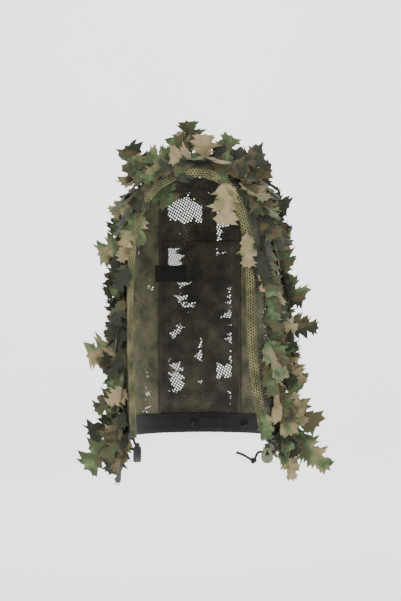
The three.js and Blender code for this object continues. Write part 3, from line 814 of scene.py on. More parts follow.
@dataclass
class Netting:
    """The four net panels and the bindings over their seams."""

    finish_back: bpy.types.Material
    finish_side: bpy.types.Material
    finish_binding: bpy.types.Material
    finish_thread: bpy.types.Material
    bindings: list[bpy.types.Object] = field(default_factory=list)

    def build(self) -> list[NetPanel]:
        """Builds the panels and the seams.

        Returns:
            The panels: crown, back, left and right.
        """
        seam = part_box("left_side_net")[0].x
        base = FORM.base
        tall = base - FORM.hem
        dome = math.radians(150) * (FORM.rise + FORM.half_depth) / 2
        wide = FORM.half_width * math.radians(38)
        reach = FORM.half_width * math.radians(62)
        wide_knit = Knit(hole=1.5 * MM, tall=1.1 * MM)
        panels = [
            NetPanel("crown_net", Panel.CENTRE, (-wide, 0.0), (wide, dome),
                     lambda p: (np.abs(p[:, 0]) < seam) & (p[:, 2] > base), self.finish_back,
                     ("crown_front_net", "crown_back_net")),
            NetPanel("back_net", Panel.CENTRE, (-wide * 1.1, -tall), (wide * 1.1, 0.0),
                     lambda p: np.abs(p[:, 0]) < seam, self.finish_back),
            NetPanel("left_side_net", Panel.LEFT, (-reach, -tall), (reach, 0.14),
                     lambda p: p[:, 0] > seam, self.finish_side, knit=wide_knit),
            NetPanel("right_side_net", Panel.RIGHT, (-reach, -tall), (reach, 0.14),
                     lambda p: p[:, 0] < -seam, self.finish_side, knit=wide_knit),
        ]
        for panel in panels:
            panel.build()
        self.bindings = self._bindings(seam)
        return panels

    def _bindings(self, seam: float) -> list[bpy.types.Object]:
        """Lays a narrow binding inside along each seam, with its stitches."""
        inner = -0.9 * MM
        made = []
        for name, x in (("left", seam), ("right", -seam)):
            heights = np.linspace(FORM.hem + 0.028, FORM.base, 60)
            down = [FORM.behind(x, z, inner, 1) for z in heights]
            turn = math.asin(x / FORM.half_width)
            over = [lay(Panel.CENTRE, np.array(turn * FORM.half_width), np.array(v), inner)
                    for v in np.linspace(0.004, 0.24, 50)]
            over = [p for p in over if not (p[1] < 0 and EDGE.distance(p[None])[0] < 10 * MM)]
            over = self._until_edge(over)
            made.append(self._binding(f"{name}_seam_binding", down + over))
        ends = math.acos(seam / FORM.half_width), math.acos(-seam / FORM.half_width)
        level = [FORM.wall(np.array(a), np.array(FORM.base), inner) for a in np.linspace(*ends, 34)]
        made.append(self._binding("crown_seam_binding", level))
        return made

    def _until_edge(self, route: list) -> list:
        """Cuts a route where it reaches the face opening."""
        kept = []
        for p in route:
            if EDGE.in_opening(p[None])[0]:
                break
            kept.append(p)
        return kept

    def _binding(self, name: str, route: Sequence) -> bpy.types.Object:
        """Makes one binding strip and its two rows of stitches."""
        strip = Ribbon(name, route, 4 * MM, 0.8 * MM, self.finish_binding, declared=False)
        made = strip.build("netting")
        for n, shift in enumerate((-1.4 * MM, 1.4 * MM)):
            line = strip.line(shift, 0.7 * MM, inward=True)
            Stitches(f"{name}_stitches_{n}", line, self.finish_thread).build()
        return made


# ---------------------------------------------------------------- ribbons and stitches
@dataclass
class Ribbon:
    """A flat strip of tape along a route on the shell."""

    name: str
    route: Sequence
    width: float
    thick: float
    finish: bpy.types.Material
    columns: int = 4
    tone: float = 0.0
    declared: bool = True

    def frames(self) -> tuple[Points, Points, Points]:
        """Gives the route's points, its side directions and its outward directions."""
        p = np.array(self.route, float)
        along = np.gradient(p, axis=0)
        along /= np.linalg.norm(along, axis=1)[:, None]
        out = np.array([FORM.normal(q) for q in p])
        out -= along * np.sum(out * along, axis=1)[:, None]
        out /= np.linalg.norm(out, axis=1)[:, None]
        return p, np.cross(along, out), out

    def line(self, shift: float, lift: float, inward: bool = False) -> Points:
        """Gives a line along the ribbon, moved sideways and lifted off it."""
        p, side, out = self.frames()
        return p + side * shift + out * (-lift if inward else lift)

    def build(self, slot: str, nodes: Sequence[str] = ()) -> bpy.types.Object:
        """Builds the ribbon.

        Args:
            slot: The record's material slot; not used.
            nodes: CAD nodes it stands for.

        Returns:
            The ribbon.
        """
        p, side, _ = self.frames()
        n = self.columns
        across = np.linspace(-0.5, 0.5, n + 1) * self.width
        verts = (p[:, None, :] + side[:, None, :] * across[None, :, None]).reshape(-1, 3)
        walked = np.concatenate([[0], np.cumsum(np.linalg.norm(np.diff(p, axis=0), axis=1))])
        flat = np.array([(a, w) for w in walked for a in across])
        faces = []
        for r in range(len(p) - 1):
            for c in range(n):
                a = r * (n + 1) + c
                faces.append((a, a + n + 1, a + n + 2, a + 1))
        made = make_object(self.name, verts, faces, self.finish)
        cloth_marks(made, flat + 0.11 * len(self.name), self.tone)
        bake_map(made, flat)
        thicken(made, self.thick)
        smooth(made)
        settle(made, HOOD, nodes)
        return made


@dataclass
class Stitches:
    """A row of sewing stitches along a line."""

    name: str
    line: Points
    finish: bpy.types.Material
    pitch: float = 4.2 * MM
    length: float = 2.9 * MM
    thread: float = 0.55 * MM
    slot: str = "cord"
    shape: tuple = ((0.0, -0.5, 0.35), (0.2, 0.1, 0.9), (0.5, 0.25, 1.0), (0.8, 0.1, 0.9), (1.0, -0.5, 0.35))

    def build(self) -> bpy.types.Object:
        """Builds the row, each stitch a short bent thread that dives at both ends."""
        route = smooth_path(self.line, self.pitch)
        verts: list[np.ndarray] = []
        faces: list[tuple[int, ...]] = []
        sides = 5
        last = len(self.shape) - 1
        for root, following in zip(route[:-1], route[1:]):
            along = following - root
            step = np.linalg.norm(along)
            along /= step
            out = np.array(FORM.normal(root))
            across = np.cross(along, out)
            start = len(verts)
            for share, lift, girth in self.shape:
                centre = root + along * (share * self.length)
                for s in range(sides):
                    turn = 2 * math.pi * s / sides
                    ring = across * math.cos(turn) + out * math.sin(turn)
                    verts.append(centre + (ring * girth / 2 + out * lift) * self.thread)
            for r in range(last):
                for s in range(sides):
                    t = (s + 1) % sides
                    a, b = start + r * sides, start + (r + 1) * sides
                    faces.append((a + s, a + t, b + t, b + s))
            faces.append(tuple(start + s for s in reversed(range(sides))))
            faces.append(tuple(start + last * sides + s for s in range(sides)))
        made = make_object(self.name, verts, faces, self.finish)
        cloth_marks(made, np.array(verts))
        smooth(made)
        settle(made, HOOD)
        return made


# ---------------------------------------------------------------- casing round the face
@dataclass
class Casing:
    """The mesh casing round the face opening, in three lengths."""

    finish: bpy.types.Material
    half_width: float = 8.5 * MM
    half_thick: float = 3.9 * MM
    rows: int = 12

    def build(self) -> None:
        """Builds the three lengths, split where the CAD pieces are."""
        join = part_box("brow_casing")[0].z
        high = EDGE.points[:, 2] > join
        first = int(np.argmax(high))
        last = len(high) - int(np.argmax(high[::-1]))
        self._length("right_face_casing", 0, first)
        self._length("brow_casing", first, last)
        self._length("left_face_casing", last, len(high))

    def _surface(self, s: Points, t: Points) -> Points:
        """Gives points of the casing.

        Args:
            s: Places along, in samples of the edge.
            t: Turns round the section.

        Returns:
            The points in space.
        """
        index = np.arange(len(EDGE.points))
        held = np.clip(s, 0, len(index) - 1)

        def along(values: Points) -> Points:
            """Reads values of the edge at the held places."""
            return np.stack([np.interp(held, index, values[:, k]) for k in range(3)], -1)

        ruffle = 1 + 0.10 * np.sin(s * 1.7) * np.sin(s * 0.31) + 0.05 * np.sin(s * 0.83 + 2)
        wide = self.half_width * ruffle
        thick = self.half_thick * (1 + 0.16 * np.sin(s * 1.1 + 1.0) * np.sin(t * 2 * math.pi))
        turn = t * 2 * math.pi
        cross = along(EDGE.across) * (wide * np.cos(turn))[:, None]
        lift = along(EDGE.out) * (thick * np.sin(turn))[:, None]
        return along(EDGE.points) + cross + lift

    def _length(self, node: str, first: int, last: int) -> None:
        """Knits one length of the tube."""
        k = Knit(pitch=1.0, row=1.0 / self.rows, hole=0.33, tall=0.46 / self.rows)
        shoulder = 0.18 / self.rows
        corners: dict[tuple[int, int, int], int] = {}
        places: list[tuple[float, float]] = []
        faces: list[tuple[int, ...]] = []
        flat: list[tuple[float, float]] = []
        for j in range(self.rows):
            for i in range(first, last):
                ring, outer = [], []
                for c, r, kind in k.cell(i, j):
                    key = (c, r % self.rows, kind)
                    outer.append((c / 2, r / self.rows + ((1 / self.rows - shoulder) if kind else shoulder)))
                    if key not in corners:
                        corners[key] = len(places)
                        places.append(outer[-1])
                    ring.append(corners[key])
                inner = [(i + 0.5 * (j & 1) + dx, j / self.rows + dy) for dx, dy in k.rim()]
                start = len(places)
                places.extend(inner)
                for n in range(6):
                    m = (n + 1) % 6
                    faces.append((ring[n], ring[m], start + m, start + n))
                    flat.extend((outer[n], outer[m], inner[m], inner[n]))
        at = np.array(places)
        verts = self._surface(at[:, 0], at[:, 1])
        made = make_object(node + "_cloth", verts, faces, self.finish)
        girth = 42 * MM
        cloth_marks(made, np.array(flat) * np.array([EDGE.step, girth]) + 0.7)
        bake_map(made, np.array(flat))
        thicken(made, 0.6 * MM)
        # The tube's inner faces take painted shade.
        mark_sides(made, lambda centres: centres - EDGE.nearest(centres))
        smooth(made)
        settle(made, HOOD, [node])


# ---------------------------------------------------------------- hem, loop strip, patch and tapes
def sew_border(name: str, low: Vector, high: Vector, offset: float, thread: bpy.types.Material) -> None:
    """Sews a border round a rectangle of the back wall.

    Args:
        name: Start of the stitch rows' names.
        low: The rectangle's low corner.
        high: The rectangle's high corner.
        offset: Distance out of the wall.
        thread: The thread's finish.
    """
    inset = 1.3 * MM
    left, right = low.x + inset, high.x - inset
    foot, top = low.z + inset, high.z - inset
    corners = [(left, foot), (right, foot), (right, top), (left, top), (left, foot)]
    for n in range(4):
        (ax, az), (bx, bz) = corners[n], corners[n + 1]
        line = [FORM.behind(ax + (bx - ax) * t, az + (bz - az) * t, offset, 1) for t in np.linspace(0, 1, 12)]
        Stitches(f"{name}_{n}", np.array(line), thread, pitch=2.8 * MM, length=2.0 * MM).build()


@dataclass
class HemBand:
    """The black band round the neck, folded under the netting's lower edge, with its loop strip."""

    finish: bpy.types.Material
    loops: bpy.types.Material
    thread: bpy.types.Material
    profile: tuple = ((-1.1, 30.0), (-1.3, 29.3), (-1.35, 20.0), (-1.35, 8.0), (-1.3, 0.2), (-0.4, -0.7),
                      (1.2, -0.7), (2.0, 0.3), (2.1, 5.0), (1.9, 9.5))
    turn_width: float = 0.118

    def build(self) -> None:
        """Builds the band, the loop strip and the stitches."""
        hem = FORM.hem
        low, high = self._ends()
        angles = np.linspace(low, high, 150)
        rows = [(out * MM, up * MM) for out, up in self.profile]
        verts, flat = [], []
        walked = 0.0
        for r, (offset, up) in enumerate(rows):
            if r:
                walked += math.hypot(offset - rows[r - 1][0], up - rows[r - 1][1])
            for a in angles:
                sag = 0.35 * MM * math.sin(9 * a) * math.sin(3.1 * a + 1)
                wall = FORM.wall(np.array(a), np.array(hem + up), 0.0)
                verts.append(wall + (offset + sag) * np.array(self._out(a)))
                flat.append((a * self.turn_width, walked))
        faces = grid_faces(len(angles), len(rows))
        made = make_object("hem_band_cloth", verts, faces, self.finish)
        cloth_marks(made, np.array(flat))
        bake_map(made, np.array(flat))
        thicken(made, 0.8 * MM)
        smooth(made)
        settle(made, HOOD, ["hem_band"])
        for n, (offset, up) in enumerate(((-1.9, 27.0), (-1.9, 3.0), (-1.9, 6.0), (2.7, 7.5))):
            self._stitches(f"hem_stitches_{n}", offset * MM, up * MM, low, high)
        self._loop_strip()

    def _ends(self) -> tuple[float, float]:
        """Gives the angles where the band meets the casing."""
        z = np.array(FORM.hem + 0.015)
        centre, across, _ = (float(v) for v in FORM.section(z))
        start = EDGE.points[-1]
        stop = EDGE.points[0]
        inset = 8.0 * MM / across
        low = math.atan2(start[1] / FORM.half_depth, (start[0] - centre) / across) + inset
        high = math.atan2(stop[1] / FORM.half_depth, (stop[0] - centre) / across) + 2 * math.pi - inset
        LOG.info("hem from %.1f to %.1f degrees", math.degrees(low), math.degrees(high))
        return low, high

    def _out(self, angle: float) -> Vector:
        """Gives the direction out of the wall at an angle of the hem."""
        point = FORM.wall(np.array(angle), np.array(FORM.hem), 0.0)
        return FORM.normal(point)

    def _stitches(self, name: str, offset: float, up: float, low: float, high: float) -> None:
        """Sews one row round the band."""
        angles = np.linspace(low + 0.02, high - 0.02, 160)
        line = [FORM.wall(np.array(a), np.array(FORM.hem + up), 0.0) + offset * np.array(self._out(a))
                for a in angles]
        Stitches(name, np.array(line), self.thread).build()

    def _loop_strip(self) -> None:
        """Makes the fuzzy loop strip and its sewn border."""
        low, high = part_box("hem_loop_strip")
        xs = np.linspace(low.x, high.x, 60)
        zs = np.linspace(low.z, high.z, 34)
        rng = random.Random(5)
        verts, flat = [], []
        for z in zs:
            for x in xs:
                border = min(x - low.x, high.x - x, z - low.z, high.z - z) / (2.2 * MM)
                pile = min(1.0, max(0.0, border)) * (0.8 + rng.uniform(-0.12, 0.12)) * MM
                verts.append(FORM.behind(x, z, -2.3 * MM - pile, 1))
                flat.append((x, z))
        faces = grid_faces(len(xs), len(zs))
        made = make_object("hem_loop_strip_pile", verts, faces, self.loops)
        cloth_marks(made, np.array(flat))
        bake_map(made, np.array(flat))
        thicken(made, 0.6 * MM, 1.0)
        smooth(made)
        settle(made, HOOD, ["hem_loop_strip"])
        sew_border("loop_strip_stitches", low, high, -3.0 * MM, self.thread)


@dataclass
class Patch:
    """A plain dark cloth patch inside the back, sewn round its border."""

    finish: bpy.types.Material
    thread: bpy.types.Material
    wide_to_tall: float = 1.7

    def build(self) -> None:
        """Builds the patch."""
        low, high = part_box("inner_patch")
        xs = np.linspace(low.x, high.x, 40)
        zs = np.linspace(low.z, high.z, 24)
        verts, flat = [], []
        for z in zs:
            for x in xs:
                across = math.sin(math.pi * (x - low.x) / (high.x - low.x))
                puff = 0.5 * MM * across * math.sin(math.pi * (z - low.z) / (high.z - low.z))
                verts.append(FORM.behind(x, z, -1.0 * MM - puff, 1))
                flat.append((x, z))
        faces = grid_faces(len(xs), len(zs))
        made = make_object("inner_patch_cloth", verts, faces, self.finish)
        cloth_marks(made, np.array(flat))
        bake_map(made, np.array(flat))
        thicken(made, 0.9 * MM)
        smooth(made)
        settle(made, HOOD, ["inner_patch"])
        sew_border("patch_stitches", low, high, -1.9 * MM, self.thread)


@dataclass
class BackTapes:
    """Woven tapes down the back that carry the leaves."""

    finish: bpy.types.Material
    thread: bpy.types.Material

    def build(self) -> None:
        """Builds the three upright tapes and their stitches."""
        for side in ("left", "middle", "right"):
            node = "back_tape_" + side
            low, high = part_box(node)
            x = (low.x + high.x) / 2
            route = [FORM.behind(x, z, FORM.net + 0.8 * MM, 1) for z in np.linspace(low.z, high.z, 70)]
            strip = Ribbon(node + "_cloth", route, high.x - low.x, 0.9 * MM, self.finish, columns=6)
            strip.build("tape", [node])
            for n, shift in enumerate((-0.42, 0.42)):
                line = strip.line(shift * (high.x - low.x), 0.7 * MM)
                Stitches(f"{node}_stitches_{n}", line, self.thread).build()


# ---------------------------------------------------------------- cords and locks
@dataclass
class Tube:
    """A round cord along a route."""

    name: str
    route: Sequence
    diameter: float
    finish: bpy.types.Material
    step: float = 1.4 * MM
    sides: int = 16
    taper: float = 0.0
    body: str = HOOD
    slot: str = "cord"

    def build(self, nodes: Sequence[str] = (), closed: bool = False) -> tuple[bpy.types.Object, Points]:
        """Builds the cord.

        Args:
            nodes: CAD nodes it stands for.
            closed: Whether the route joins its own start.

        Returns:
            The cord and the line it follows.
        """
        line = np.array(self.route) if closed else smooth_path(self.route, self.step)
        count = len(line)
        along = np.roll(line, -1, 0) - np.roll(line, 1, 0) if closed else np.gradient(line, axis=0)
        along /= np.linalg.norm(along, axis=1)[:, None]
        across = np.zeros_like(along)
        guide = Vector((0.3, 0.8, 0.52)).normalized()
        for n, direction in enumerate(along):
            guide = (guide - Vector(direction) * guide.dot(direction)).normalized()
            across[n] = guide
        lift = np.cross(along, across)
        girth = np.full(count, self.diameter / 2)
        if not closed:
            girth[0] *= 0.93
            girth[-1] *= 0.93
            girth[-3:] *= np.array([1.0, 1.0 + self.taper, 1.0 + self.taper * 0.6])
        turns = 2 * math.pi * np.arange(self.sides) / self.sides
        ring = across[:, None] * np.cos(turns)[None, :, None] + lift[:, None] * np.sin(turns)[None, :, None]
        verts = (line[:, None] + ring * girth[:, None, None]).reshape(-1, 3)
        faces, flat = [], []
        for r in range(count if closed else count - 1):
            for c in range(self.sides):
                d = (c + 1) % self.sides
                low, high = r * self.sides, (r + 1) % count * self.sides
                faces.append((low + c, low + d, high + d, high + c))
                turn = 2 * math.pi / self.sides
                flat.extend(((r * self.step, c * turn), (r * self.step, (c + 1) * turn),
                             ((r + 1) * self.step, (c + 1) * turn), ((r + 1) * self.step, c * turn)))
        if not closed:
            last = (count - 1) * self.sides
            faces.append(tuple(reversed(range(self.sides))))
            faces.append(tuple(range(last, last + self.sides)))
            flat.extend([(0.0, 0.0)] * (2 * self.sides))
        made = make_object(self.name, verts, faces, self.finish)
        cloth_marks(made, np.array(flat))
        smooth(made)
        settle(made, self.body, nodes)
        return made, line


@dataclass
class Cords:
    """The drawcord in its casing and its two ends, each through a cord lock and into a knot."""

    finish: bpy.types.Material
    diameter: float = 3.8 * MM

    def build(self) -> None:
        """Builds the cord and its ends, with their knots."""
        drawcord = Tube("drawcord_braid", EDGE.points[::2], self.diameter, self.finish, step=3 * MM)
        _, line = drawcord.build(["drawcord"])
        length = float(np.sum(np.linalg.norm(np.diff(line, axis=0), axis=1)))
        LOG.info("drawcord in its casing: %.3f m", length)
        left = self._lock_centre("left_lock_body")
        right = self._lock_centre("right_lock_body")
        start = EDGE.points[-1] / MM
        lead = [(5.5, -0.5, 15), (11.5, -0.5, 10.5), (13.8, 0, 4), (10.5, 0, 0), (6, 0, 0), (1, 0, 0)]
        tail = [(-6, 0, 0), (-12.4, 0, -0.1), (-15.4, -0.2, -3.4), (-17.9, -0.4, -9.2), (-20.4, -0.6, -13.4)]
        tip = [(-24.3, -0.8, -11.3), (-31, -1.2, -6.8), (-38.4, -1.6, -3), (-46.3, -2, -0.4)]
        self._end("left", start, left, lead + tail + tip, (-20.5, -0.6, -12.7),
                  ["left_cord_lead", "left_cord_tail", "left_cord_tip"])
        start = EDGE.points[0] / MM
        lead = [(-4, -7, 14.5), (-1, -14.5, 9), (0, -15.5, 2.5), (0, -11, 0), (0, -6, 0), (0, 7, 0)]
        tail = [(0, 16.2, 0), (0, 20.6, 0)]
        self._end("right", start, right, lead + tail, (0, 20.6, 0), ["right_cord_end"])

    def _lock_centre(self, node: str) -> np.ndarray:
        """Finds where the cord's axis crosses a lock, in millimetres."""
        low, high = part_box(node)
        return np.array([(low.x + high.x) / 2, (low.y + high.y) / 2, high.z - 7 * MM]) / MM

    def _end(self, side: str, start: Points, lock: Points, offsets: Sequence, knot: Sequence,
             nodes: Sequence[str]) -> None:
        """Builds one end of the cord and its knot."""
        route = [start] + [lock + np.array(o, float) for o in offsets]
        route = np.array(route) * MM
        made, line = Tube(side + "_cord_braid", route, self.diameter, self.finish, taper=0.12).build(nodes)
        tied = self._knot(side, (lock + np.array(knot)) * MM)

    def _knot(self, side: str, centre: Points) -> bpy.types.Object:
        """Ties a three-lobed knot round a point of the cord."""
        turns = np.linspace(0, 2 * math.pi, 72, endpoint=False)
        size = 1.28 * MM
        loop = np.stack([
            np.sin(turns) + 1.75 * np.sin(2 * turns),
            1.15 * np.sin(3 * turns),
            np.cos(turns) - 1.75 * np.cos(2 * turns),
        ], -1) * size
        lean = np.array(Matrix.Rotation(0.5, 3, "Y"))
        tube = Tube(side + "_knot_braid", centre + loop @ lean.T, 3.3 * MM, self.finish, sides=14)
        made, _ = tube.build([side + "_cord_knot"], closed=True)
        return made


@dataclass
class Spring:
    """The return spring of a cord lock, wound to fill its CAD box; the real spring shortens as the plunger is
    pressed.
    """

    side: str
    finish: bpy.types.Material
    wire: float = 0.9 * MM
    turns: int = 3
    travel: float = 5.2 * MM

    def build(self) -> None:
        """Winds the spring."""
        node = self.side + "_lock_spring"
        low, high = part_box(node)
        middle = (low + high) / 2
        radius = (high.x - low.x - self.wire) / 2
        tall = high.z - low.z - self.wire
        route = []
        for n in range(self.turns * 24 + 1):
            share = n / (self.turns * 24)
            turn = 2 * math.pi * self.turns * share
            height = low.z + self.wire / 2 + tall * share
            route.append((middle.x + radius * math.cos(turn), middle.y + radius * math.sin(turn), height))
        coil = Tube(node + "_coil", route, self.wire, self.finish, step=0.6 * MM, sides=10,
                    body=self.side + "_lock", slot="spring")
        made, _ = coil.build([node])
        tall += self.wire
        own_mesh(made)


@dataclass
class Hardware:
    """The finishes of the hard pieces: those whose CAD shape is kept, and the two springs."""

    left_lock: bpy.types.Material
    dark: bpy.types.Material
    snap: bpy.types.Material
    spring: bpy.types.Material

    def dress(self) -> None:
        """Gives each kept CAD node its finish and winds the springs."""
        self._coat("left_lock_body", self.left_lock)
        for node in ("right_lock_body", "left_lock_plunger", "right_lock_plunger"):
            self._coat(node, self.dark)
        for side in ("left", "right"):
            Spring(side, self.spring).build()
            self._coat(side + "_snap_cap", self.snap)
            self._coat(side + "_snap_socket", self.snap)

    def _coat(self, node: str, finish: bpy.types.Material) -> None:
        """Puts a finish in every material slot of a node."""
        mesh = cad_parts[node].data
        for index in range(max(1, len(mesh.materials))):
            if len(mesh.materials) <= index:
                mesh.materials.append(finish)
            else:
                mesh.materials[index] = finish
        LOG.info("%s: new finish", node)


# ---------------------------------------------------------------- leaves
class Cut(Enum):
    """How a leaf is cut: lobes on a side, their depth, their forward sweep and where it is widest."""

    OAK = (3, 0.6, 0.7, 0.6)
    MAPLE = (2, 0.66, 0.8, 0.5)
    FERN = (4, 0.5, 0.8, 0.45)
    BLADE = (3, 0.34, 0.7, 0.4)


# Places of the points across a leaf, from its left edge to its right edge, as shares of its half width.
ACROSS_LEAF = (-1.0, -0.5, 0.0, 0.5, 1.0)


@dataclass(frozen=True)
class Leaf:
    """One cut leaf: where it is sewn, where it reaches and how it hangs."""

    root: Vector
    along: Vector
    face: Vector
    length: float
    width: float
    cut: Cut = Cut.OAK
    tone: float = 0.0
    bend: float = 0.35
    cup: float = 0.12
    twist: float = 0.0
    seed: int = 0

    def outline(self) -> list[tuple[float, float, float, float, float]]:
        """Draws the cut's outline.

        Returns:
            Rows of left half width and place, right half width and place, and the spine's place, as shares.
        """
        rng = random.Random(self.seed)
        lobes, depth, sweep, widest = self.cut.value
        rows = [(0.04, 0.0, 0.04, 0.0, 0.0), (0.07, 0.1, 0.07, 0.1, 0.1)]
        step = 0.8 / lobes
        for n in range(lobes):
            tip = 0.13 + step * (n + 0.62)
            bulge = math.sin(math.pi * min(1.0, tip ** (math.log(0.5) / math.log(widest)))) ** 0.55
            teeth = ((-0.56, 1 - depth, 0.0), (-0.3, 0.7, 0.15), (-0.2, 0.62, 0.1), (-0.04, 1.0, 0.75),
                     (0.1, 0.68, 0.5), (0.22, 0.8, 0.9), (0.36, 0.46, 0.25))
            for shift, share, lead in teeth:
                place = tip + shift * step
                sides = []
                for _ in range(2):
                    wide = bulge * share * rng.uniform(0.78, 1.2)
                    at = place + lead * sweep * step * 0.5 + rng.uniform(-0.1, 0.1) * step
                    sides.extend((max(0.05, wide), at))
                rows.append((*sides, place))
        rows.append((0.13, 0.95, 0.13, 0.94, 0.94))
        rows.append((0.02, 1.0, 0.02, 1.0, 1.0))
        return rows

    def mesh(self) -> tuple[Points, list[tuple[int, ...]], Points]:
        """Cuts, bends and places the leaf.

        Returns:
            Its points, its faces and its flat coordinates.
        """
        along = self.along.normalized()
        face = (self.face - along * self.face.dot(along)).normalized()
        across = along.cross(face)
        verts, flat = [], []
        rows = self.outline()
        for left, left_at, right, right_at, spine in rows:
            for share in ACROSS_LEAF:
                wide, at = (left, left_at) if share < 0 else (right, right_at)
                v = spine + (at - spine) * abs(share)
                u = share * wide * self.width / 2
                verts.append(self._place(u, v * self.length, along, across, face))
                flat.append((u, v * self.length, 0.0))
        faces = grid_faces(len(ACROSS_LEAF), len(rows))
        shift = random.Random(self.seed + 99)
        offset = np.array([shift.uniform(-4, 4), shift.uniform(-4, 4), shift.uniform(-4, 4)])
        turn = shift.uniform(0, math.pi)
        flat = np.array(flat)
        spun = flat.copy()
        spun[:, 0] = flat[:, 0] * math.cos(turn) - flat[:, 1] * math.sin(turn)
        spun[:, 1] = flat[:, 0] * math.sin(turn) + flat[:, 1] * math.cos(turn)
        return np.array(verts), faces, spun + offset

    def _place(self, u: float, v: float, along: Vector, across: Vector, face: Vector) -> Vector:
        """Bends a flat place of the leaf into space."""
        share = v / self.length
        bend = self.bend if abs(self.bend) > 1e-3 else 1e-3
        forward = self.length * math.sin(bend * share) / bend
        back = self.length * (1 - math.cos(bend * share)) / bend
        turn = self.twist * share
        lift = self.cup * (2 * u / self.width) ** 2 * self.width * 0.5
        lift += 0.02 * self.length * math.sin(9 * share + self.seed) * (u / self.width)
        side = across * (u * math.cos(turn)) + face * (u * math.sin(turn))
        return self.root + along * forward + side + face * (lift - back)


@dataclass
class Bunch:
    """Leaves sewn to one part of the hood, made as one piece."""

    name: str
    leaves: list[Leaf]
    finish: bpy.types.Material
    slot: str = "leaf_olive"
    nodes: tuple[str, ...] = ()
    # hanging: the leaves' inner faces take the finish's painted-shade palette.
    hanging: bool = False

    def build(self) -> bpy.types.Object:
        """Builds the bunch."""
        verts, faces, flats, tones = [], [], [], []
        count = 0
        for leaf in self.leaves:
            points, quads, flat = leaf.mesh()
            verts.append(points)
            faces.extend(tuple(i + count for i in quad) for quad in quads)
            flats.append(flat)
            tones.append(np.full(len(points), leaf.tone))
            count += len(points)
        made = make_object(self.name, np.vstack(verts), faces, self.finish)
        flat = np.vstack(flats)
        cloth_marks(made, flat, np.concatenate(tones))
        self._map(made)
        thicken(made, 0.55 * MM)
        # Hanging leaves get painted shade on their inner faces.
        if self.hanging:
            mark_sides(made, lambda centres: centres * [1.0, 1.0, 0.4])
        smooth(made)
        settle(made, HOOD, self.nodes)
        return made

    def _map(self, made: bpy.types.Object) -> None:
        """Packs the flat leaves side by side into a clean map."""
        columns = max(1, math.ceil(math.sqrt(len(self.leaves))))
        uv = []
        for n, leaf in enumerate(self.leaves):
            cell = np.array([n % columns, n // columns], float)
            for left, left_at, right, right_at, spine in leaf.outline():
                for share in ACROSS_LEAF:
                    wide, at = (left, left_at) if share < 0 else (right, right_at)
                    up = spine + (at - spine) * abs(share)
                    place = np.array([0.5 + 0.36 * share * wide, 0.06 + 0.84 * up])
                    uv.append((cell + place) / columns)
        bake_map(made, np.array(uv))


class Tone:
    """Shifts of the leaf print towards one of its colours."""

    DARK = -0.2
    OLIVE = -0.09
    GREEN = -0.02
    SAGE = 0.05
    TAN = 0.13
    PALE = 0.22


# Leaves with a place of their own: angle in degrees, height, reach, length, width, cut, tone and facing.
FRONT = (0.0, -1.0, 0.0)
NAMED = {
    "right_leaf_crown": (184, -42, (-.5, -.1, .85), 62, 48, Cut.MAPLE, Tone.OLIVE, FRONT),
    "right_leaf_brow": (188, -74, (-.8, -.1, -.5), 42, 30, Cut.OAK, Tone.TAN, FRONT),
    "right_leaf_temple": (174, -96, (-.78, .1, -.62), 40, 30, Cut.OAK, Tone.DARK, FRONT),
    "right_leaf_cheek": (190, -140, (-.93, -.1, -.36), 48, 44, Cut.MAPLE, Tone.GREEN, FRONT),
    "right_leaf_ear": (176, -200, (-.88, 0, -.45), 40, 32, Cut.OAK, Tone.OLIVE, FRONT),
    "right_leaf_jaw": (190, -246, (-.6, -.1, -.75), 48, 36, Cut.FERN, Tone.DARK, FRONT),
    "right_leaf_neck": (182, -300, (-.97, 0, -.22), 63, 52, Cut.OAK, Tone.TAN, FRONT),
    "right_leaf_collar": (190, -368, (-.84, -.05, -.5), 58, 42, Cut.FERN, Tone.GREEN, FRONT),
    "right_leaf_shoulder": (180, -410, (-.92, 0, -.36), 66, 40, Cut.MAPLE, Tone.DARK, FRONT),
    "right_leaf_hem_out": (192, -428, (-.75, -.2, -.66), 88, 50, Cut.OAK, Tone.OLIVE, FRONT),
    "right_leaf_hem_down": (184, -431, (-.4, .25, -1), 77, 42, Cut.FERN, Tone.DARK, FRONT),
    "left_leaf_crown": (-62, -28, (.86, -.12, .3), 70, 50, Cut.MAPLE, Tone.OLIVE, (.2, -1, .5)),
    "left_leaf_brow": (-8, -72, (.9, -.1, -.3), 40, 38, Cut.MAPLE, Tone.DARK, FRONT),
    "left_leaf_temple": (4, -118, (.85, 0, -.25), 30, 34, Cut.OAK, Tone.GREEN, FRONT),
    "left_leaf_cheek": (-12, -152, (.72, -.1, -.5), 38, 38, Cut.OAK, Tone.OLIVE, FRONT),
    "left_leaf_ear": (0, -205, (.92, 0, -.4), 52, 46, Cut.MAPLE, Tone.GREEN, FRONT),
    "left_leaf_jaw": (-10, -262, (.98, -.05, -.12), 66, 38, Cut.FERN, Tone.DARK, FRONT),
    "left_leaf_neck": (4, -336, (.9, 0, -.42), 44, 34, Cut.OAK, Tone.OLIVE, FRONT),
    "left_leaf_collar": (-8, -382, (.86, -.05, -.58), 70, 48, Cut.MAPLE, Tone.GREEN, FRONT),
    "left_leaf_hem_out": (2, -424, (.72, 0, -.66), 100, 46, Cut.FERN, Tone.SAGE, FRONT),
    "left_leaf_hem_down": (-16, -430, (.22, -.3, -.95), 76, 28, Cut.FERN, Tone.PALE, FRONT),
    "top_leaf_up": (-120, -2.1, (-.16, -.1, 1), 51, 40, Cut.OAK, Tone.OLIVE, FRONT),
    "top_leaf_peak": (-100, -5, (.08, -.65, -.6), 50, 66, Cut.OAK, Tone.OLIVE, (0, -1, .5)),
}
SLOTS = ("leaf_olive", "leaf_green", "leaf_tan", "leaf_dark", "leaf_sage")

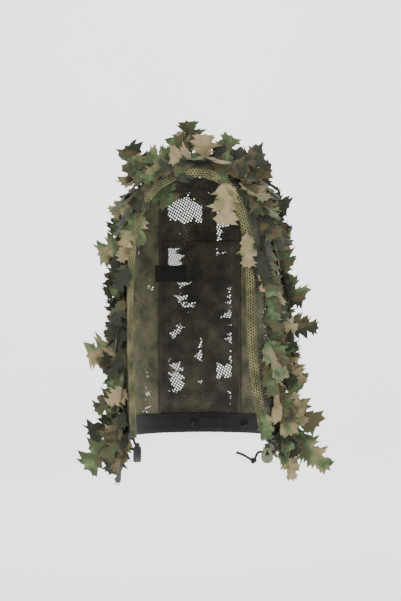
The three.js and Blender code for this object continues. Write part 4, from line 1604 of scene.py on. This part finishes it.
# Leaves in front, over the edge of the face opening: x, height, reach, length, width, cut, tone.
OVER_EDGE = (
    (-66, -34, (.5, -.3, -.8), 60, 58, Cut.OAK, Tone.GREEN),
    (-92, -88, (.05, -.2, -1), 60, 46, Cut.MAPLE, Tone.GREEN),
    (-98, -104, (-.3, -.2, -1), 46, 36, Cut.OAK, Tone.SAGE),
    (34, -44, (.05, -.3, -1), 74, 56, Cut.OAK, Tone.TAN),
    (54, -50, (.6, -.2, -.7), 56, 46, Cut.MAPLE, Tone.OLIVE),
    (66, -122, (.08, -.15, -1), 58, 36, Cut.OAK, Tone.TAN),
    (78, -150, (.45, -.2, -1), 50, 38, Cut.FERN, Tone.DARK),
    (84, -172, (.5, -.2, -.9), 54, 42, Cut.OAK, Tone.OLIVE),
    (-104, -170, (-.35, -.15, -1), 46, 32, Cut.FERN, Tone.DARK),
    (-108, -222, (-.4, -.15, -1), 46, 34, Cut.OAK, Tone.OLIVE),
    (-110, -262, (-.3, -.15, -1), 48, 34, Cut.MAPLE, Tone.DARK),
    (-110, -330, (-.5, -.15, -1), 50, 36, Cut.OAK, Tone.GREEN),
    (-108, -392, (-.35, -.15, -1), 50, 36, Cut.MAPLE, Tone.DARK),
    (92, -392, (.1, -.15, -1), 46, 30, Cut.OAK, Tone.SAGE),
    (106, -378, (.5, -.2, -.9), 60, 46, Cut.MAPLE, Tone.TAN),
    (96, -215, (.5, -.15, -1), 52, 40, Cut.OAK, Tone.OLIVE),
    (98, -285, (.5, -.15, -1), 50, 40, Cut.MAPLE, Tone.GREEN),
    (116, -424, (.12, -.2, -1), 54, 22, Cut.FERN, Tone.DARK),
    (122, -424, (.3, -.2, -1), 70, 34, Cut.OAK, Tone.TAN),
)

# Leaves on the front of the crown: x, height, reach, length, width, cut, tone.
VISOR = (
    (-22, -12, (-.35, -.3, .9), 38, 50, Cut.MAPLE, Tone.OLIVE),
    (4, -12, (.1, -.25, 1), 38, 52, Cut.OAK, Tone.TAN),
    (28, -14, (.4, -.3, .85), 42, 50, Cut.MAPLE, Tone.GREEN),
    (48, -26, (.7, -.25, .45), 44, 46, Cut.OAK, Tone.OLIVE),
    (-42, -24, (-.75, -.25, .45), 42, 46, Cut.MAPLE, Tone.SAGE),
    (-14, -3, (-.25, -.6, -.75), 42, 50, Cut.OAK, Tone.OLIVE),
    (12, -3, (.2, -.6, -.8), 42, 52, Cut.MAPLE, Tone.OLIVE),
    (34, -8, (.35, -.5, -.8), 44, 48, Cut.OAK, Tone.DARK),
    (-36, -8, (-.4, -.5, -.8), 44, 48, Cut.MAPLE, Tone.DARK),
    (-2, -22, (-.9, -.35, -.1), 62, 50, Cut.OAK, Tone.OLIVE),
    (10, -20, (.85, -.35, -.15), 64, 50, Cut.MAPLE, Tone.OLIVE),
    (-8, -12, (-.55, -.5, .1), 46, 44, Cut.MAPLE, Tone.TAN),
    (14, -10, (.5, -.4, .3), 44, 42, Cut.OAK, Tone.OLIVE),
    (-30, -16, (-.85, -.25, -.45), 66, 46, Cut.FERN, Tone.GREEN),
    (-44, -26, (-.75, -.2, -.65), 60, 44, Cut.OAK, Tone.OLIVE),
    (-58, -34, (-.75, -.2, -.1), 44, 44, Cut.MAPLE, Tone.OLIVE),
    (-66, -48, (-.7, -.2, -.8), 54, 42, Cut.OAK, Tone.DARK),
    (34, -16, (.8, -.25, -.5), 66, 46, Cut.OAK, Tone.TAN),
    (46, -28, (.75, -.25, -.65), 64, 44, Cut.FERN, Tone.OLIVE),
    (58, -36, (.9, -.2, .12), 50, 44, Cut.MAPLE, Tone.OLIVE),
    (62, -50, (.75, -.2, -.8), 60, 42, Cut.OAK, Tone.OLIVE),
    (-16, -26, (-.3, -.6, -.55), 34, 40, Cut.BLADE, Tone.DARK),
    (24, -27, (.3, -.6, -.55), 34, 40, Cut.BLADE, Tone.GREEN),
    (22, -6, (.5, -.1, .6), 34, 32, Cut.MAPLE, Tone.OLIVE),
    (-24, -8, (-.75, -.1, .2), 36, 36, Cut.OAK, Tone.TAN),
)

# Bare places of the back netting, where light comes through: x, height, half width, half height.
BARE = (
    (-48, -162, 14, 22), (30, -118, 13, 34), (18, -86, 9, 14), (-14, -84, 11, 20), (-78, -358, 9, 10),
    (-34, -352, 12, 26), (58, -352, 15, 22), (-80, -410, 12, 5), (-10, -240, 10, 12), (42, -240, 8, 18),
    (12, -310, 8, 12), (-42, -206, 3, 5), (16, -196, 2, 8), (-38, -278, 2, 5), (52, -290, 3, 6),
)


@dataclass
class Foliage:
    """All the leaves on the hood."""

    finish: bpy.types.Material
    rng: random.Random = field(default_factory=lambda: random.Random(11))
    first_row: float = -6.0
    last_row: float = -425.0
    row_step: float = 22.0
    spacing: float = 0.030
    side_from: float = 0.062
    edge_gap: float = 0.017
    hem_gap: float = 0.003
    shortest: float = 0.022
    small_seed: int = 100
    edge_seed: int = 400
    lining_seed: int = 700
    fill_seed: int = 1000

    def build(self) -> dict[str, list[bpy.types.Object]]:
        """Builds the leaves.

        Returns:
            The bunches by the net panel that carries them.
        """
        carried: dict[str, list[bpy.types.Object]] = {n: [] for n in ("crown", "back", "left", "right")}
        for n, (name, spec) in enumerate(NAMED.items()):
            slot = SLOTS[n % len(SLOTS)]
            made = Bunch(name + "_cloth", self._named(spec, n), self.finish, slot, (name,)).build()
            zone = "crown" if name.startswith("top") else name.split("_")[0]
            carried[zone].append(made)
        self._back(carried)
        for side, sign in (("left", 1), ("right", -1)):
            leaves = [self._over_edge(spec, n) for n, spec in enumerate(OVER_EDGE) if spec[0] * sign > 0]
            carried[side].append(Bunch(f"{side}_edge_leaves", leaves, self.finish, "leaf_tan").build())
        visor = [self._over_edge(spec, 60 + n, 3.0) for n, spec in enumerate(VISOR)]
        carried["crown"].append(Bunch("visor_leaves", visor, self.finish, "leaf_tan").build())
        self._fill(carried)
        return carried

    def _root(self, angle: float, z: float, lift: float) -> tuple[Vector, Vector]:
        """Gives a point just off the netting and the way out of it."""
        point = FORM.wall(np.array(angle), np.array(z), FORM.net)
        out = FORM.normal(point)
        return Vector(point) + out * lift, out

    def _named(self, spec: tuple, number: int) -> list[Leaf]:
        """Makes a placed leaf with three smaller ones at its root."""
        angle, z, reach, length, width, cut, tone, face = spec
        turn = math.radians(angle)
        root, out = self._root(turn, z * MM, 0.9 * MM)
        main = Leaf(root, Vector(reach), Vector(face), length * MM, width * 1.25 * MM, cut, tone,
                    bend=0.2, cup=0.1, twist=0.1, seed=number)
        leaves = [main]
        for n in range(3):
            along = Vector(reach).normalized()
            along += Vector((self.rng.uniform(-.5, .5), self.rng.uniform(-.4, .1), self.rng.uniform(-.9, .2)))
            beside = turn + self.rng.uniform(-.14, .14)
            height = min(-3.0, z + self.rng.uniform(-9, 9))
            spot, out = self._root(beside, height * MM, 1.6 * MM)
            if along.dot(out) < 0.15:
                along += out * (0.3 - along.dot(out))
            share = self.rng.uniform(0.5, 0.78)
            small = Leaf(spot, along, Vector(face) + out * 0.4, length * share * MM, width * 0.85 * MM,
                         self.rng.choice(list(Cut)), self._any_tone(), bend=self.rng.uniform(-0.2, 0.6),
                         cup=0.15, twist=self.rng.uniform(-0.5, 0.5), seed=self.small_seed + number * 7 + n)
            leaves.append(small)
        return leaves

    def _any_tone(self) -> float:
        """Picks a tone."""
        tones = (Tone.DARK, Tone.DARK, Tone.OLIVE, Tone.OLIVE, Tone.GREEN, Tone.SAGE, Tone.TAN)
        return self.rng.choice(tones)

    def _over_edge(self, spec: tuple, number: int, lift: float = 6.5) -> Leaf:
        """Makes a leaf in front of the crown or of the casing, lifted off it by some millimetres."""
        x, z, reach, length, width, cut, tone = spec
        root = Vector(FORM.behind(x * MM, z * MM, lift * MM, -1))
        out = FORM.normal(root)
        face = Vector(FRONT) + out * 0.5
        return Leaf(root, Vector(reach), face, length * MM, width * MM, cut, tone, bend=0.25, cup=0.12,
                    twist=self.rng.uniform(-0.3, 0.3), seed=self.edge_seed + number)

    def _back(self, carried: dict) -> None:
        """Makes the leaves that hang from the back tapes."""
        number = 24
        for row, top in (("upper", -72), ("middle", -190), ("lower", -310)):
            for side, x in (("left", 15 if row == "middle" else 60), ("right", -60)):
                angle = FORM.angle_at(x * MM, top * MM)
                root, out = self._root(angle, top * MM, 1.6 * MM)
                along = Vector((0, 0, -1)) + out * (out.z + 0.3)
                name = f"back_leaf_{row}_{side}"
                leaf = Leaf(root, along, out, 92 * MM, 66 * MM, Cut.OAK, self._any_tone(), bend=0.3, cup=0.12,
                            twist=0.1, seed=number)
                slot = SLOTS[number % len(SLOTS)]
                # Painted shade on the inner faces of these back leaves.
                bunch = Bunch(name + "_cloth", [leaf], self.finish, slot, (name,), hanging=True)
                carried["back"].append(bunch.build())
                number += 1
        lining = []
        for n, x in enumerate((-42, -14, 14, 42, -28, 0, 28)):
            top = -24 if n < 4 else -36
            root, out = self._root(FORM.angle_at(x * MM, top * MM), top * MM, 2.2 * MM)
            along = Vector((0, 0, -1)) + out * out.z + out * 0.12
            lining.append(Leaf(root, along, out, 44 * MM, 60 * MM, Cut.OAK, Tone.DARK, bend=0.2, cup=0.1,
                               twist=0.0, seed=self.lining_seed + n))
        # Painted shade on the inner faces of these leaves.
        bunch = Bunch("crown_back_leaves", lining, self.finish, "leaf_dark", hanging=True)
        carried["crown"].append(bunch.build())

    def _fill(self, carried: dict) -> None:
        """Covers the crown, the back and the sides with hanging leaves, and leaves the bare places open."""
        zones: dict[str, list[Leaf]] = {n: [] for n in carried}
        seed = self.fill_seed
        height = self.first_row
        while height > self.last_row:
            z = height * MM
            _, across, _ = (float(v) for v in FORM.section(np.array(z)))
            up = max(0.0, (z - FORM.base) / FORM.rise)
            ring = 2 * math.pi * across * math.sqrt(max(0.02, 1 - up * up))
            count = max(5, round(ring / self.spacing))
            for n in range(count):
                angle = 2 * math.pi * (n + self.rng.uniform(-0.35, 0.35)) / count
                level = (height + self.rng.uniform(-14, 14)) * MM
                seed += 1
                leaf = self._hanging(angle, min(-0.004, level), seed)
                if leaf is None:
                    continue
                zone = "crown" if up > 0.25 else "back"
                if abs(leaf.root.x) > self.side_from:
                    zone = "left" if leaf.root.x > 0 else "right"
                zones[zone].append(leaf)
            height -= self.row_step
        for zone, leaves in zones.items():
            half = len(leaves) // 2
            # Only the back leaves get painted shade on their inner faces.
            hanging = zone == "back"
            for part, some in (("a", leaves[:half]), ("b", leaves[half:])):
                bunch = Bunch(f"{zone}_leaves_{part}", some, self.finish, "leaf_green", hanging=hanging)
                carried[zone].append(bunch.build())

    def _hanging(self, angle: float, z: float, seed: int) -> Leaf | None:
        """Makes one hanging leaf, or none where it would close the face or a bare place."""
        root, out = self._root(angle, z, 2.6 * MM)
        length = self.rng.uniform(48, 78) * MM
        width = self.rng.uniform(40, 60) * MM
        along = Vector((self.rng.uniform(-.35, .35), self.rng.uniform(-.35, .35), -1.0))
        along -= out * along.dot(out)
        lean = self.rng.uniform(0.14, 0.36)
        along = along.normalized() + out * lean
        middle = root + along.normalized() * length * 0.5
        spots = np.array([root, middle, root + along.normalized() * length])
        closes = EDGE.in_opening(spots) | (EDGE.distance(spots) < self.edge_gap)
        if closes[0] or closes[1] or (closes[2] and root.z < -0.05):
            return None
        if middle.y > 0:
            width = width * 1.2
            if self._bares(root, along, length):
                length = length * 0.55
                if self._bares(root, along, length):
                    return None
                spots[2] = root + along.normalized() * length
            spare = float(spots[2][2]) - FORM.hem - self.hem_gap
            if spare < 0 and abs(middle.x) < 0.1:
                length = length * (root.z - FORM.hem - self.hem_gap) / (root.z - float(spots[2][2]))
                if length < self.shortest:
                    return None
        if abs(root.x) > 0.085 and root.y < 0.03 and self.rng.random() < 0.6:
            away = Vector((0, -0.1, -1)) + out * self.rng.uniform(0.3, 0.75)
            return Leaf(root, away, Vector(FRONT), length * 0.75, width * 0.75, self.rng.choice(list(Cut)),
                        self._any_tone(), self.rng.uniform(0.0, 0.4), 0.14, self.rng.uniform(-0.3, 0.3), seed)
        if root.z < -0.075:
            tone = self._any_tone()
        else:
            tone = self.rng.choice((Tone.OLIVE, Tone.OLIVE, Tone.GREEN, Tone.TAN))
        return Leaf(root, along, out, length, width, self.rng.choice(list(Cut)), tone,
                    self.rng.uniform(-0.1, 1.4 * (lean - 0.1)), 0.14, self.rng.uniform(-0.15, 0.15), seed)

    def _bares(self, root: Vector, along: Vector, length: float) -> bool:
        """Tells whether a leaf would close one of the bare places."""
        places = [(root + along.normalized() * length * share) / MM for share in (0.3, 0.55, 0.8)]
        return any(math.hypot((p.x - x) / (wide + 7), (p.z - height) / (tall + 4)) < 1
                   for x, height, wide, tall in BARE for p in places)


# ---------------------------------------------------------------- the studio
@dataclass
class Studio:
    """Camera, pale backdrop and soft lights."""

    aim: tuple[float, float, float] = (0.001, -0.08, -0.2275)
    distance: float = 2.7
    tall: float = 0.9015

    def build(self) -> None:
        """Sets the studio up."""
        self._camera()
        self._backdrop()
        self._lights()

    def _camera(self) -> None:
        """Places the camera level with the hood's middle."""
        data = bpy.data.cameras.new("camera")
        data.sensor_fit = "VERTICAL"
        film = 36
        data.sensor_height = film
        data.lens = film * self.distance / self.tall
        camera = bpy.data.objects.new("camera", data)
        camera.location = Vector(self.aim) + Vector((0, -self.distance, 0))
        camera.rotation_euler = (math.pi / 2, 0, 0)
        bpy.context.scene.collection.objects.link(camera)
        bpy.context.scene.camera = camera

    def _backdrop(self) -> None:
        """Makes a floor that curves up into a wall."""
        g = Graph("paper")
        place = g.node("TexCoord").outputs["Object"]
        whites = [(0.3, linear(250, 250, 249)), (0.7, linear(254, 254, 254))]
        colour = g.ramp(g.noise(place, 1.5, 2.0), whites)
        finish = g.finish(Base_Color=colour, Roughness=0.9, Emission_Color=colour, Emission_Strength=1.0)
        floor, back, radius, side, top = -0.95, 4.4, 0.9, 4.6, 3.6
        line = [(-side, floor), (back - radius, floor)]
        for n in range(1, 16):
            turn = math.pi / 2 * n / 15
            line.append((back - radius + radius * math.sin(turn), floor + radius * (1 - math.cos(turn))))
        line.append((back, top))
        verts = [(x, y, z) for y, z in line for x in (-side, side)]
        faces = [(2 * n, 2 * n + 1, 2 * n + 3, 2 * n + 2) for n in range(len(line) - 1)]
        sweep = make_object("backdrop", verts, faces, finish)
        smooth(sweep)

    def _lights(self) -> None:
        """Hangs the soft lights: a high key in front, a fill, and one on the backdrop."""
        self._area("key", (-0.9, -1.8, 1.5), 34, 1.4)
        self._area("fill", (1.4, -1.7, 0.4), 18, 1.5)
        self._area("top", (0.0, 0.2, 1.9), 22, 1.4)
        self._area("backdrop_light", (0.0, 2.6, 2.2), 60, 2.4, (0.0, 4.4, -0.5))
        world = bpy.data.worlds.new("world")
        world.use_nodes = True
        world.node_tree.nodes["Background"].inputs[0].default_value = (1.0, 1.0, 1.0, 1.0)
        world.node_tree.nodes["Background"].inputs[1].default_value = 0.42
        bpy.context.scene.world = world

    def _area(self, name: str, place: Sequence[float], power: float, size: float,
              target: Sequence[float] = (0.0, 0.0, -0.2)) -> None:
        """Hangs one square area light that looks at a target."""
        data = bpy.data.lights.new(name, "AREA")
        data.energy = power
        data.size = size
        light = bpy.data.objects.new(name, data)
        light.location = place
        light.rotation_euler = (Vector(target) - Vector(place)).to_track_quat("-Z", "Y").to_euler()
        bpy.context.scene.collection.objects.link(light)


def main() -> None:
    """Builds the whole hood."""
    Studio().build()
    thread = PlainCloth("thread", (22, 22, 22), (60, 58, 54), 0.0008).build()
    pale_thread = PlainCloth("pale_thread", (92, 88, 70), (138, 132, 108), 0.0008).build()
    Cords(Braid("cord").build()).build()
    netting = Netting(
        # Inner faces: the cloth's darker reverse side with painted shade.
        PrintedCloth("netting", Print.TAPE, Print.INSIDE, 26.0, 0.0007).build(),
        # Inner faces painted lighter, as lit yarn: painted light.
        PrintedCloth("side_netting", Print.TAPE, Print.SIDE, 26.0, 0.0007).build(),
        PlainCloth("binding", (54, 50, 42), (78, 72, 58)).build(),
        thread,
    )
    panels = netting.build()
    # The casing's inner faces take painted shade.
    Casing(PrintedCloth("casing", Print.EDGE, Print.SHADE, 30.0, 0.0008).build()).build()
    hem_cloth = PlainCloth("hem", (12, 12, 12), (26, 26, 25), 0.0012, 0.14).build()
    loops = PlainCloth("loops", (15, 16, 20), (27, 28, 34), 0.0009, 0.16).build()
    HemBand(hem_cloth, loops, thread).build()
    Patch(PlainCloth("patch", (16, 16, 15), (36, 34, 30)).build(), thread).build()
    # The tapes take the painted-shade palette too, but none of their faces is marked as looking inwards, so it
    # does not show.
    BackTapes(PrintedCloth("tape", Print.WEBBING, Print.SHADE, 22.0).build(), pale_thread).build()
    Hardware(
        Moulded("lock", (88, 98, 76), (122, 130, 104), 0.45).build(),
        Moulded("dark_plastic", (34, 33, 29), (62, 60, 52), 0.4).build(),
        Moulded("snap", (26, 28, 31), (78, 80, 82), 0.34, 0.85).build(),
        Moulded("spring", (150, 151, 152), (190, 191, 192), 0.28, 1.0).build(),
    ).dress()
    # The back leaves' inner faces take painted shade from this finish.
    leaf_cloth = PrintedCloth("leaf", Print.LEAF, Print.SHADE, 24.0, 0.0009, spread=1.1, soft=0.05)
    leaves = Foliage(leaf_cloth.build()).build()
    leaves["back"] += netting.bindings
    for panel, zone in zip(panels, ("crown", "back", "left", "right")):
        panel.declare(leaves[zone])
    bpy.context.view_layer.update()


if __name__ == "__main__":
    main()
